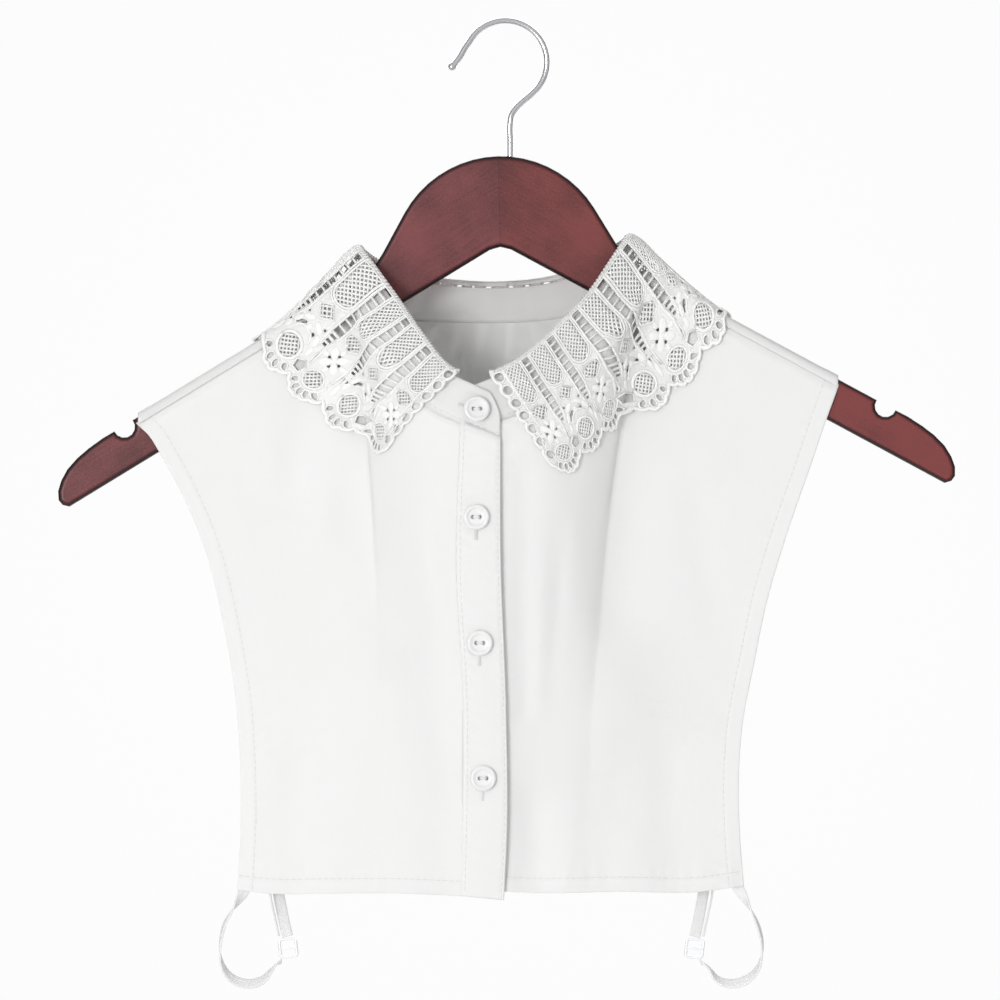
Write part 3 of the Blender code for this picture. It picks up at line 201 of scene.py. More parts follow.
RIGHT_SIDE = (
    (164.4, -7.6, -179.8), (158.6, -7.8, -196.3), (150.7, -8.0, -219.6), (139.3, -8.3, -252.3),
    (129.4, -8.7, -285.4), (122.5, -9.1, -318.6), (117.4, -9.4, -345.0), (115.4, -9.6, -370.0),
    (115.7, -9.8, -398.0), (117.8, -10.0, -426.6),
)
LEFT_HEM = (
    (-21.8, -22.0, -431.2), (-52.2, -20.0, -430.0), (-90.0, -15.5, -430.2), (-115.6, -12.0, -430.4),
    (-132.4, -10.0, -428.6),
)
RIGHT_HEM = (
    (-17.0, -19.2, -428.0), (17.1, -20.5, -429.8), (55.0, -19.0, -429.2), (95.3, -13.0, -429.5),
    (117.8, -10.0, -426.6),
)
BACK_LEFT_SIDE = (
    (-181.6, 7.7, -197.2), (-170.0, 7.9, -214.0), (-156.0, 8.0, -238.0), (-146.5, 8.2, -262.0),
    (-136.5, 8.6, -300.0), (-127.0, 9.0, -330.0), (-121.5, 9.3, -362.0), (-119.0, 9.6, -391.0),
    (-118.5, 10.0, -424.5),
)
BACK_RIGHT_SIDE = (
    (164.4, 7.7, -178.6), (155.5, 7.9, -198.0), (134.5, 8.2, -252.0), (122.5, 8.6, -286.0),
    (114.0, 9.0, -319.0), (108.0, 9.3, -345.0), (105.0, 9.6, -385.0), (104.5, 10.0, -424.5),
)
BACK_HEM = (
    (-118.5, 10.0, -424.5), (-60.0, 13.5, -425.0), (-7.0, 15.0, -425.2), (46.0, 13.5, -425.0),
    (104.5, 10.0, -424.5),
)


class Crease(NamedTuple):
    """A soft fold along a line in the front view; a positive depth sinks in, a negative one stands out."""

    from_x: float
    from_z: float
    to_x: float
    to_z: float
    wide: float
    depth: float


FRONT_CREASES = named(
    Crease,
    (-101.0, -190.0, -107.0, -235.0, 9.0, 3.4), (-84.0, -200.0, -90.0, -250.0, 8.0, -1.6),
    (-66.0, -250.0, -50.0, -305.0, 14.0, 3.6), (-50.0, -300.0, -26.0, -372.0, 11.0, 2.4),
    (-64.0, -330.0, -70.0, -345.0, 24.0, -4.2), (48.0, -328.0, 50.0, -342.0, 24.0, -4.6),
    (8.5, -222.0, 9.0, -340.0, 6.0, 4.0), (14.0, -385.0, 15.0, -425.0, 9.0, 2.4),
    (62.0, -230.0, 56.0, -290.0, 14.0, 1.8), (-152.0, -203.0, -128.0, -222.0, 8.0, 1.0),
    (-100.0, -372.0, -104.0, -425.0, 12.0, 1.6), (80.0, -365.0, 84.0, -425.0, 13.0, 1.6),
)
BACK_CREASES = named(
    Crease,
    (-62.0, -200.0, -52.0, -300.0, 14.0, 3.0), (40.0, -195.0, 36.0, -310.0, 13.0, 2.8),
    (-12.0, -250.0, -8.0, -380.0, 16.0, -2.6), (-84.0, -330.0, -88.0, -422.0, 12.0, 1.8),
    (72.0, -340.0, 74.0, -422.0, 12.0, 1.8),
)
# Finer folds than the panels' main ones; the same kind runs down the back.
FRONT_SOFT_CREASES = named(
    Crease,
    (-158.0, -212.0, -118.0, -238.0, 7.0, 0.9), (8.6, -236.0, 9.2, -342.0, 6.6, -1.8),
    (9.4, -350.0, 13.0, -418.0, 9.0, 1.1), (-120.0, -240.0, -96.0, -300.0, 10.0, 0.9),
    (-40.0, -232.0, -34.0, -300.0, 7.0, -0.9), (-44.0, -262.0, -30.0, -330.0, 5.0, 0.7),
    (-92.0, -348.0, -118.0, -402.0, 9.0, 0.8), (-60.0, -372.0, -56.0, -426.0, 8.0, 0.7),
    (30.0, -236.0, 40.0, -300.0, 8.0, -1.0), (92.0, -232.0, 104.0, -292.0, 9.0, 0.9),
    (26.0, -250.0, 24.0, -330.0, 5.0, 0.6), (60.0, -352.0, 50.0, -424.0, 9.0, 0.8),
    (34.0, -360.0, 30.0, -426.0, 7.0, -0.7), (128.0, -206.0, 98.0, -236.0, 8.0, 0.8),
)
BACK_SOFT_CREASES = named(
    Crease,
    (-120.0, -236.0, -92.0, -300.0, 9.0, 1.0), (-34.0, -190.0, -30.0, -300.0, 8.0, -0.9),
    (14.0, -260.0, 18.0, -360.0, 7.0, 0.8), (60.0, -220.0, 54.0, -300.0, 8.0, -0.9),
    (98.0, -226.0, 82.0, -290.0, 9.0, 1.0), (-46.0, -330.0, -50.0, -422.0, 9.0, 0.9),
    (34.0, -340.0, 32.0, -422.0, 8.0, 0.8),
)


class LeafTip(NamedTuple):
    """Where the lace leaf's outer edge lies at one repeat."""

    repeat: float
    x: float
    y: float
    z: float


LEAF_TIPS = named(
    LeafTip,
    (0.0, -69.0, -34.0, -219.0), (0.65, -77.0, -32.0, -211.7), (1.65, -90.8, -28.0, -198.3),
    (2.65, -105.7, -22.0, -185.4), (3.65, -119.0, -12.0, -169.5), (4.4, -125.0, 0.0, -157.0),
    (5.4, -122.0, 12.0, -167.0), (6.6, -108.0, 16.0, -184.0), (8.6, -70.0, 25.0, -194.0),
    (10.8, -26.0, 29.0, -196.0), (13.0, 18.0, 29.0, -194.0), (15.0, 60.0, 24.0, -186.0),
    (16.6, 93.0, 16.0, -173.0), (17.4, 108.0, 12.0, -158.0), (18.1, 112.0, 0.0, -145.0),
    (18.8, 106.0, -12.0, -159.0), (19.65, 92.4, -20.0, -177.0), (20.65, 79.2, -26.0, -190.0),
    (21.65, 63.0, -31.0, -202.0), (22.65, 48.6, -34.0, -212.0), (23.65, 35.6, -36.0, -222.6),
    (24.3, 26.0, -37.0, -226.0),
)


class FoldMark(NamedTuple):
    """Which repeat stands at which row of the neck ring along the fold."""

    repeat: float
    row: float


FOLD_MARKS = named(
    FoldMark,
    (0.0, 1.55), (1.65, 2.95), (3.4, 4.5), (5.2, 8.0), (7.4, 11.6), (11.4, 13.3), (15.4, 15.25),
    (17.8, 19.0), (20.4, 23.0), (22.4, 25.0), (24.3, 26.45),
)


class Button(NamedTuple):
    """Where a button sits in the front view, and how far its face turns to the side and down."""

    x: float
    z: float
    turn: float
    tip: float


BUTTONS = named(
    Button,
    (-14.1, -191.2, 4.0, -8.0), (-14.3, -244.2, 0.0, 0.0), (-12.6, -306.2, 0.0, 0.0),
    (-11.0, -372.9, 0.0, 0.0),
)


class StrapPoint(NamedTuple):
    """A point of an elastic strap; at turn 0 its broad face looks forward, at 90 its edge does."""

    x: float
    y: float
    z: float
    turn: float


LEFT_LOOP = named(
    StrapPoint,
    (-126.6, -7.3, -421.0, 0.0), (-128.6, -7.2, -428.0, 0.0), (-131.4, -7.4, -433.0, 45.0),
    (-134.8, -7.8, -438.4, 90.0), (-138.4, -7.5, -444.6, 104.0), (-140.6, -7.0, -452.7, 100.0),
    (-141.1, -6.2, -460.2, 90.0), (-139.6, -5.4, -466.8, 68.0), (-136.2, -4.6, -471.8, 46.0),
    (-131.2, -3.8, -474.6, 34.0), (-125.5, -3.0, -475.2, 34.0), (-120.0, -2.0, -473.2, 46.0),
    (-116.4, -1.0, -469.2, 72.0), (-113.6, -0.2, -465.8, 90.0), (-111.0, 0.8, -464.2, 110.0),
)
RIGHT_LOOP = named(
    StrapPoint,
    (112.0, -7.3, -419.0, 0.0), (114.4, -7.2, -426.4, 0.0), (117.8, -7.4, -432.2, -45.0),
    (121.4, -7.8, -438.8, -90.0), (125.0, -7.5, -446.8, -104.0), (126.8, -7.0, -454.5, -100.0),
    (126.6, -6.2, -462.0, -88.0), (124.2, -5.4, -468.4, -62.0), (120.4, -4.6, -472.4, -42.0),
    (115.2, -3.8, -474.8, -34.0), (109.4, -3.0, -475.0, -38.0), (104.4, -2.0, -472.6, -58.0),
    (101.4, -1.0, -468.4, -80.0), (98.6, -0.2, -465.6, -90.0), (96.6, 0.8, -464.6, -110.0),
)
LEFT_STRAP = named(
    StrapPoint,
    (-114.0, 7.9, -417.0, 0.0), (-112.6, 7.6, -430.0, 0.0), (-110.4, 4.6, -441.0, 0.0),
    (-107.9, 1.2, -451.9, 0.0),
)
RIGHT_STRAP = named(
    StrapPoint,
    (99.6, 7.9, -417.0, 0.0), (98.2, 7.6, -430.0, 0.0), (96.2, 4.6, -441.0, 0.0), (93.8, 1.2, -452.1, 0.0),
)
LEFT_RETURN = named(
    StrapPoint,
    (-117.2, 5.0, -421.0, 90.0), (-116.6, 4.6, -431.0, 90.0), (-114.6, 3.6, -441.0, 90.0),
    (-112.2, 2.0, -451.6, 90.0),
)
RIGHT_RETURN = named(
    StrapPoint,
    (103.0, 5.0, -421.0, -90.0), (102.4, 4.6, -431.0, -90.0), (100.4, 3.6, -441.0, -90.0),
    (98.0, 2.0, -451.8, -90.0),
)


class Slider(NamedTuple):
    """Centre and lean of a strap slider."""

    x: float
    y: float
    z: float
    lean: float


SLIDERS = {
    "slider_left": Slider(-107.6, 1.2, -457.6, 6.0),
    "slider_right": Slider(93.6, 1.2, -457.8, -6.0),
}


class Curve:
    """A smooth curve through points, read by its length share from 0 to 1 or by a marked value."""

    def __init__(self, points, marks=None):
        self.points = np.array(points, float)
        if marks is None:
            steps = np.linalg.norm(np.diff(self.points, axis=0), axis=1)
            marks = np.concatenate([[0.0], np.cumsum(steps)]) / steps.sum()
        self.marks = np.array(marks, float)
        self.slopes = np.gradient(self.points, self.marks, axis=0)

    def __call__(self, mark):
        mark = float(np.clip(mark, self.marks[0], self.marks[-1]))
        row = min(int(np.searchsorted(self.marks, mark, side="right")) - 1, len(self.marks) - 2)
        span = self.marks[row + 1] - self.marks[row]
        u = (mark - self.marks[row]) / span
        blend = (2 * u**3 - 3 * u**2 + 1, -2 * u**3 + 3 * u**2)
        bend = (u**3 - 2 * u**2 + u, u**3 - u**2)
        return (
            blend[0] * self.points[row]
            + blend[1] * self.points[row + 1]
            + span * (bend[0] * self.slopes[row] + bend[1] * self.slopes[row + 1])
        )


def lengths_of(path):
    """How far each point of a path lies along it."""
    return np.concatenate([[0.0], np.cumsum(np.linalg.norm(np.diff(path, axis=0), axis=1))])


def read_along(marks, lengths, values):
    """Vectors read at marked lengths of a path."""
    return np.stack([np.interp(marks, lengths, values[:, k]) for k in range(3)], axis=1)


def circle(count):
    """The cosine and sine of each of so many even steps round a circle."""
    angles = [2 * math.pi * step / count for step in range(count)]
    return [(math.cos(angle), math.sin(angle)) for angle in angles]


def tube_faces(rings, sides, base=0, closed=False):
    """The quads round a tube, whose points come ring by ring."""
    faces = []
    for row in range(rings if closed else rings - 1):
        here, after = base + row * sides, base + (row + 1) % rings * sides
        for side in range(sides):
            turn = (side + 1) % sides
            faces.append((here + side, here + turn, after + turn, after + side))
    return faces


def cap_faces(rings, sides, base=0):
    """The first and the last end of a tube."""
    last = base + (rings - 1) * sides
    return [tuple(range(base + sides - 1, base - 1, -1)), tuple(range(last, last + sides))]


def flipped(faces):
    """Faces that look the other way."""
    return [(face[0], *face[:0:-1]) for face in faces]


def unit(vector):
    """The vector at length one."""
    return vector / max(float(np.linalg.norm(vector)), 1e-9)


def hanger_outline():
    """The right half of the hanger's outline in its own frame, from the dome's top to the lower apex."""
    along = Vector((math.cos(ARM_ANGLE), -math.sin(ARM_ANGLE)))
    up = Vector((math.sin(ARM_ANGLE), math.cos(ARM_ANGLE)))

    def on_arm(u, w):
        return along * u + up * w

    points = []
    for step in range(DOME_STEPS + 1):
        angle = DOME_SPREAD * step / DOME_STEPS
        across = DOME_RADIUS * math.sin(angle)
        points.append(Vector((across, DOME_DROP + DOME_RADIUS * math.cos(angle))))
    flank = Vector((math.cos(DOME_SPREAD), -math.sin(DOME_SPREAD)))
    corner = meeting(points[-1], flank, on_arm(0.0, ARM_DEPTH), along)
    half_turn = (DOME_SPREAD - ARM_ANGLE) / 2
    reach = FILLET_RADIUS * math.tan(half_turn)
    start = corner - flank * reach
    centre = start + Vector((math.sin(DOME_SPREAD), math.cos(DOME_SPREAD))) * FILLET_RADIUS
    for step in range(FILLET_STEPS + 1):
        angle = DOME_SPREAD - 2 * half_turn * step / FILLET_STEPS
        points.append(centre - Vector((math.sin(angle), math.cos(angle))) * FILLET_RADIUS)
    mouth = math.asin((ARM_DEPTH - NOTCH_UP) / NOTCH_RADIUS)
    notch_steps = 7
    for step in range(notch_steps + 1):
        angle = math.pi - mouth + (math.pi + 2 * mouth) * step / notch_steps
        across = NOTCH_ALONG + NOTCH_RADIUS * math.cos(angle)
        points.append(on_arm(across, NOTCH_UP + NOTCH_RADIUS * math.sin(angle)))
    points += [on_arm(u, w) for u, w in ARM_END]
    points += [on_arm(170.0, 0.0), on_arm(85.0, 0.0), on_arm(6.0, 0.0)]
    points.append(Vector((0.0, -1.6)))
    return points


def meeting(point, way, other, other_way):
    """Where two lines in the plane cross."""
    turn = way.x * other_way.y - way.y * other_way.x
    gap = other - point
    share = (gap.x * other_way.y - gap.y * other_way.x) / turn
    return point + way * share


def hanger_place(point):
    """Takes a point of the hanger's own frame into the part's front view."""
    turned = Matrix.Rotation(WOOD_ROLL, 2) @ point
    return turned + Vector(WOOD_APEX)


def hanger_top_line():
    """The wood's upper edge in the front view between the two notches, from left to right."""
    right = hanger_outline()[:NOTCH_FIRST]
    left = [Vector((-p.x, p.y)) for p in right[1:]]
    return sorted([tuple(hanger_place(p)) for p in right + left])


def hanger_top(x):
    """The height of the wood's upper edge in the front view at x."""
    return float(np.interp(x, [p[0] for p in HANGER_TOP], [p[1] for p in HANGER_TOP]))


def surface_normals(grid, hint):
    """Unit normals of a grid of points, on the side that the hint points to."""
    across = np.gradient(grid, axis=1)
    down = np.gradient(grid, axis=0)
    normals = np.cross(across, down)
    normals /= np.maximum(np.linalg.norm(normals, axis=2, keepdims=True), 1e-9)
    if (normals * hint(grid)).sum() < 0:
        normals = -normals
    return normals


def chain(parts, breaks):
    """Several curves joined end to end, with the share at which each one ends."""

    def at(share):
        low = 0.0
        for part, high in zip(parts, breaks):
            if share <= high + 1e-9:
                return part((share - low) / (high - low))
            low = high
        return parts[-1](1.0)

    return at


def stretch(curve, first, last):
    """Part of a marked curve, read from 0 to 1."""
    return lambda share: curve(first + (last - first) * share)


def spaced(breaks, counts):
    """Shares from 0 to 1 with so many steps in each stretch between the breaks."""
    shares = [0.0]
    low = 0.0
    for high, count in zip(breaks, counts):
        shares += [low + (high - low) * (step + 1) / count for step in range(count)]
        low = high
    return shares


HANGER_TOP = hanger_top_line()


def ridge(x):
    """The height of the cloth's outer side over the hanger at x."""
    return hanger_top(x) + CLOTH_GAP + CLOTH


def seam_point(row):
    """The neck seam at a row of the ring, measured from the wood where it crosses it."""
    return (row.seam_x, row.seam_y, row.seam_z + (ridge(row.seam_x) if row.over_wood else 0.0))


ROWS = np.arange(len(NECK_RING), dtype=float)
SEAM = Curve([seam_point(row) for row in NECK_RING], ROWS)
STAND_TOP = Curve([row[3:6] for row in NECK_RING], ROWS)

# The shoulder wrap's section over the wood, from the seam in front to the back: y and drop from the ridge.
SHOULDER_SECTION = (
    (-7.7, 5.6), (-7.7, 2.9), (-6.4, 0.7), (-3.4, 0.0), (3.4, 0.0), (6.4, 0.7), (7.7, 2.9), (7.7, 4.6),
)
WRAP_LAST = len(SHOULDER_SECTION) - 1


def shoulder_line(neck_x, end_x, row):
    """One line along the shoulder at a row of the wrap's section, from the neck to the armhole."""
    y, drop = SHOULDER_SECTION[row]

    def at(share):
        x = neck_x + (end_x - neck_x) * share
        return np.array([x, y, ridge(x) - drop])

    return at


LEFT_NECK_X = -76.7
LEFT_END_X = -181.6
RIGHT_NECK_X = 68.0
RIGHT_END_X = 164.4
NECK_SHARE = 0.42
# The back's shares across it at the ends of its neck edge.
LEFT_SHARE = 0.3
RIGHT_SHARE = 0.7


def smooth(value):
    """A soft step from 0 to 1."""
    value = np.clip(value, 0.0, 1.0)
    return value * value * (3.0 - 2.0 * value)


def crease_depth(x, z, creases):
    """How far the creases push the cloth inwards at places of the front view."""
    depth = np.zeros(x.shape)
    for crease in creases:
        way = np.array([crease.to_x - crease.from_x, crease.to_z - crease.from_z])
        from_start = np.stack([x - crease.from_x, z - crease.from_z], axis=-1)
        share = np.clip(from_start @ way / (way @ way), 0.0, 1.0)
        away = from_start - share[..., None] * way
        depth += crease.depth * np.exp(-(away**2).sum(axis=-1) / crease.wide**2)
    return depth


def coons(top, bottom, start, end, across, down):
    """A grid of points stretched between four edges; across and down are shares from 0 to 1."""
    tops = np.array([top(s) for s in across])[None]
    bottoms = np.array([bottom(s) for s in across])[None]
    starts = np.array([start(t) for t in down])[:, None]
    ends = np.array([end(t) for t in down])[:, None]
    s = np.array(across)[None, :, None]
    t = np.array(down)[:, None, None]
    ruled = (1 - t) * tops + t * bottoms + (1 - s) * starts + s * ends
    first, last = (1 - s) * top(0.0) + s * top(1.0), (1 - s) * bottom(0.0) + s * bottom(1.0)
    return ruled - (1 - t) * first - t * last


def lower(curve):
    """A curve moved down by the gap of a seam."""
    return lambda share: curve(share) - np.array([0.0, 0.0, SEAM_GAP])


def from_top(point, table):
    """The curve of a panel's edge, starting from the end of its top edge."""
    return Curve([point, *table[1:]])


def ease_sideways(grid, across, down, wide):
    """Evens the panel's depth across its columns, so that no kink runs down from the neck's corner."""
    across = np.array(across)
    edge = np.minimum(wide, 0.5 * np.minimum(across - across[0], across[-1] - across))
    apart = (across[None] - across[:, None]) / np.maximum(edge, 1e-4)[:, None]
    weights = np.exp(-(apart**2) / 2) * np.gradient(across)[None]
    weights /= weights.sum(axis=1, keepdims=True)
    share = smooth(np.array(down) / 0.22)[:, None]
    grid[..., 1] = grid[..., 1] * (1.0 - share) + (grid[..., 1] @ weights.T) * share


def front_grid(left, across, down, creases):
    """The outer points of a front panel: columns from the opening to the side, rows from top to hem."""
    if left:
        neck = stretch(SEAM, PLACKET_ROW, LEFT_FRONT_ROW)
        shoulder = shoulder_line(LEFT_NECK_X, LEFT_END_X, 0)
        hem, opening, side = LEFT_HEM, LEFT_STITCH_LINE, LEFT_SIDE
    else:
        neck = stretch(SEAM, len(NECK_RING) - 1.0, RIGHT_FRONT_ROW)
        shoulder = shoulder_line(RIGHT_NECK_X, RIGHT_END_X, 0)
        hem, opening, side = RIGHT_HEM, RIGHT_UNDER_EDGE, RIGHT_SIDE
    top = chain((lower(neck), lower(shoulder)), (NECK_SHARE, 1.0))
    grid = coons(top, Curve(hem), from_top(top(0.0), opening), from_top(top(1.0), side), across, down)
    ease_sideways(grid, across, down, 0.1)
    calm = np.minimum(1.0, 2.5 * np.array(down))[:, None]
    grid[..., 1] += calm * crease_depth(grid[..., 0], grid[..., 2], creases)
    grid[..., 1] = np.minimum(grid[..., 1], -CLOTH_GAP - CLOTH - WOOD_THICK / 2)
    return grid


def wrap_rows(section, across, body_top):
    """The back's rows over both shoulders; between them, rows above the neck edge that aren't cloth."""
    rows = []
    for y, drop in section:
        row = np.array(body_top)
        row[:, 2] += 1.0
        for column, share in enumerate(across):
            if share <= LEFT_SHARE + 1e-9:
                x = LEFT_END_X + (LEFT_NECK_X - LEFT_END_X) * share / LEFT_SHARE
            elif share >= RIGHT_SHARE - 1e-9:
                x = RIGHT_NECK_X + (RIGHT_END_X - RIGHT_NECK_X) * (share - RIGHT_SHARE) / (1.0 - RIGHT_SHARE)
            else:
                continue
            row[column] = (x, y, ridge(x) - drop)
        rows.append(row)
    return np.array(rows)


def back_grid(section, across, down, creases):
    """The back's outer points: rows over the shoulders from the front seam, then rows down to the hem."""
    left = shoulder_line(LEFT_NECK_X, LEFT_END_X, WRAP_LAST)
    neck = lower(stretch(SEAM, LEFT_BACK_ROW, RIGHT_BACK_ROW))
    right = shoulder_line(RIGHT_NECK_X, RIGHT_END_X, WRAP_LAST)
    top = chain((lambda share: left(1.0 - share), neck, right), (LEFT_SHARE, RIGHT_SHARE, 1.0))
    left_side, right_side = from_top(top(0.0), BACK_LEFT_SIDE), from_top(top(1.0), BACK_RIGHT_SIDE)
    body = coons(top, Curve(BACK_HEM), left_side, right_side, across, down)
    ease_sideways(body, across, down, 0.06)
    calm = np.minimum(1.0, 2.5 * np.array(down))[:, None]
    body[..., 1] -= calm * crease_depth(body[..., 0], body[..., 2], creases)
    body[..., 1] = np.maximum(body[..., 1], CLOTH_GAP + CLOTH + WOOD_THICK / 2)
    return np.concatenate([wrap_rows(section[:-1], across, body[0]), body])


def shoulder_only(across, wrap_count):
    """A test for the back's quads: above the neck edge, only those over a shoulder are cloth."""

    def keep(row, column):
        over = across[column + 1] <= LEFT_SHARE + 1e-9 or across[column] >= RIGHT_SHARE - 1e-9
        return row >= wrap_count or over

    return keep


def placket_grid(columns, rows):
    """The placket's outer points, from the stitch line to its edge."""
    stitch = Curve([(x + SEAM_GAP, y - PLACKET_STEP, z) for x, y, z in LEFT_STITCH_LINE])
    edge = Curve([(x, y - 0.1, z) for x, y, z in PLACKET_EDGE])
    share = np.linspace(0.0, 1.0, columns)[None, :, None]
    down = np.linspace(0.0, 1.0, rows)
    lefts, rights = np.array([stitch(t) for t in down])[:, None], np.array([edge(t) for t in down])[:, None]
    grid = (1 - share) * lefts + share * rights
    grid[..., 1] -= 0.5 * np.sin(math.pi * share[..., 0])
    grid[0, :, 2] -= SEAM_GAP
    return grid


def stand_grid(marks, rows, lift=STAND_LIFT):
    """The collar stand's outer points; its left end is rounded at the top."""
    grid = np.zeros((rows, len(marks), 3))
    for row in range(rows):
        up = 1.0 - row / (rows - 1)
        for column, mark in enumerate(marks):
            rounded = 0.42 * max(0.0, up - 0.45) ** 2 / 0.3 * max(0.0, 1.0 - mark / 0.5)
            place = mark + rounded
            seam, top = SEAM(place), STAND_TOP(place)
            bottom = seam + unit(top - seam) * lift
            grid[row, column] = bottom + (top - bottom) * up
    return grid


def forward(grid):
    """Points to the front of the garment."""
    return np.broadcast_to(np.array([0.0, -1.0, 0.0]), grid.shape)


def outward(grid):
    """Points away from the middle of the neck."""
    return grid - np.array([NECK_X, 0.0, -175.0])


def grid_quads(grid, hint, keep=None):
    """The quads of a grid, wound so that their normals point the way of the hint."""
    rows, columns = grid.shape[:2]
    first = (np.arange(rows - 1)[:, None] * columns + np.arange(columns - 1)[None]).reshape(-1)
    quads = np.stack([first, first + 1, first + columns + 1, first + columns], axis=1)
    if keep is not None:
        kept = [keep(k // (columns - 1), k % (columns - 1)) for k in range(len(quads))]
        quads = quads[np.array(kept)]
    natural = np.cross(np.gradient(grid, axis=1), np.gradient(grid, axis=0))
    if (natural * hint(grid)).sum() < 0:
        quads = quads[:, ::-1]
    return quads


def tree_of(layers):
    """A search tree over the outer sides of several grids; each comes with its quads."""
    points = []
    faces = []
    for grid, quads in layers:
        faces += (quads + len(points)).tolist()
        points += [Vector(p) for p in grid.reshape(-1, 3)]
    return BVHTree.FromPolygons(points, faces)


def lift(point, tree, clear, snap=False):
    """Moves a point out of the cloth until it is clear of it; snap also brings it down to that distance."""
    place, normal, _, distance = tree.find_nearest(Vector(point))
    place, normal = np.array(place), np.array(normal)
    if np.dot(point - place, normal) <= 0:
        return place + normal * clear
    if snap or distance < clear:
        return place + unit(point - place) * clear
    return point


def stand_frame(mark):
    """At a mark of the ring: the stand's top point, its way up and its way outwards."""
    top = STAND_TOP(mark)
    up = unit(top - SEAM(mark))
    along = unit(STAND_TOP(mark + 0.05) - STAND_TOP(mark - 0.05))
    out = unit(np.cross(along, up))
    if np.dot(out, top - np.array([NECK_X, 0.0, top[2]])) < 0:
        out = -out
    return top, up, out


LEAF_COLUMNS = 195
LEAF_ROWS = 30
# The first row below the roll, which may lie on the cloth.
LEAF_FREE_ROW = 9


def leaf_section(top, up, out, tip, lie):
    """The show side of the leaf at one repeat: over the roll, then down to the tip."""
    radius = ROLL_RADIUS + LACE
    centre = top + up * FOLD_GAP + out * ROLL_RADIUS
    points = []
    for step in range(9):
        angle = ROLL_TURN * step / 8
        points.append(centre + radius * (up * math.sin(angle) - out * math.cos(angle)))
    leave = out * math.sin(ROLL_TURN) + up * math.cos(ROLL_TURN)
    start = points[-1]
    span = float(np.linalg.norm(tip - start))
    flat = tip - start
    flat = unit(flat - lie * np.dot(flat, lie))
    first = start + leave * span * 0.12
    second = tip - flat * span * 0.4
    for step in range(1, 33):
        u = step / 32
        near, far = (1 - u) ** 3 * start + 3 * (1 - u) ** 2 * u * first, 3 * (1 - u) * u**2 * second
        points.append(near + far + u**3 * tip)
    points = np.array(points)
    lengths = lengths_of(points)
    even = np.concatenate([np.linspace(0, 8.0, 9)[:-1], np.linspace(8.0, lengths[-1], LEAF_ROWS - 8)])
    return read_along(even, lengths, points)


def leaf_grid(tree):
    """The show side of the lace leaf, columns along the repeats and rows from the stand to the tips."""
    tips = Curve([tip[1:] for tip in LEAF_TIPS], [tip.repeat for tip in LEAF_TIPS])
    marks = Curve([(mark.row,) for mark in FOLD_MARKS], [mark.repeat for mark in FOLD_MARKS])
    clear = LACE + LACE_ON_CLOTH
    grid = np.zeros((LEAF_ROWS, LEAF_COLUMNS, 3))
    for column in range(LEAF_COLUMNS):
        repeat = REPEATS * column / (LEAF_COLUMNS - 1)
        tip = lift(tips(repeat), tree, clear, True)
        lie = unit(tip - np.array(tree.find_nearest(Vector(tip))[0]))
        grid[:, column] = leaf_section(*stand_frame(float(marks(repeat)[0])), tip, lie)

    def clear_of_cloth():
        for row in range(LEAF_FREE_ROW, LEAF_ROWS):
            for column in range(LEAF_COLUMNS):
                grid[row, column] = lift(grid[row, column], tree, clear)

    free = LEAF_FREE_ROW
    for _ in range(3):
        clear_of_cloth()
        before = grid.copy()
        grid[free:-1, 1:-1] = (
            0.5 * before[free:-1, 1:-1]
            + 0.125 * (before[free:-1, :-2] + before[free:-1, 2:])
            + 0.125 * (before[free - 1 : -2, 1:-1] + before[free + 1 :, 1:-1])
        )
    clear_of_cloth()
    return grid


def leaf_lengths(grid):
    """The share of the leaf's length at each row, averaged over the columns."""
    steps = np.linalg.norm(np.diff(grid, axis=0), axis=2).mean(axis=1)
    total = np.concatenate([[0.0], np.cumsum(steps)])
    return total / total[-1]


# Leaf surface, read at any place of the lace's flat plan


class LeafMap:
    """Takes points of the lace's flat plan into space: along the repeats, from the stand outwards, height."""

    def __init__(self, grid):
        hint = grid - np.array([NECK_X, 0.0, -190.0])
        hint[:12] = 0.0
        self.grid = grid
        self.normals = surface_normals(grid, lambda _: hint)
        self.shares = leaf_lengths(grid)

    def __call__(self, plan):
        plan = np.asarray(plan, float)
        column = np.clip(plan[:, 0] / PITCH / REPEATS, 0.0, 1.0) * (LEAF_COLUMNS - 1)
        row = np.interp(plan[:, 1] / LEAF_LONG, self.shares, np.arange(LEAF_ROWS))
        place = self.read(self.grid, row, column)
        normal = self.read(self.normals, row, column)
        normal /= np.linalg.norm(normal, axis=1, keepdims=True)
        return place + normal * plan[:, 2:3]

    def read(self, values, row, column):
        """Smooth reading between the grid's points, by cubics along both directions."""
        r = np.clip(row.astype(int), 0, LEAF_ROWS - 2)
        c = np.clip(column.astype(int), 0, LEAF_COLUMNS - 2)
        row_weights, column_weights = cubic_weights(row - r), cubic_weights(column - c)
        total = 0.0
        for i in range(4):
            ri = np.clip(r + i - 1, 0, LEAF_ROWS - 1)
            for j in range(4):
                cj = np.clip(c + j - 1, 0, LEAF_COLUMNS - 1)
                total = total + (row_weights[i] * column_weights[j])[:, None] * values[ri, cj]
        return total


def cubic_weights(u):
    """The four weights of a smooth cubic between its middle two points."""
    return (
        -0.5 * u + u**2 - 0.5 * u**3,
        1.0 - 2.5 * u**2 + 1.5 * u**3,
        0.5 * u + 2.0 * u**2 - 1.5 * u**3,
        -0.5 * u**2 + 0.5 * u**3,
    )


# Mesh making


def place_object(name, mesh):
    """A new object in the scene."""
    obj = bpy.data.objects.new(name, mesh)
    bpy.context.scene.collection.objects.link(obj)
    return obj


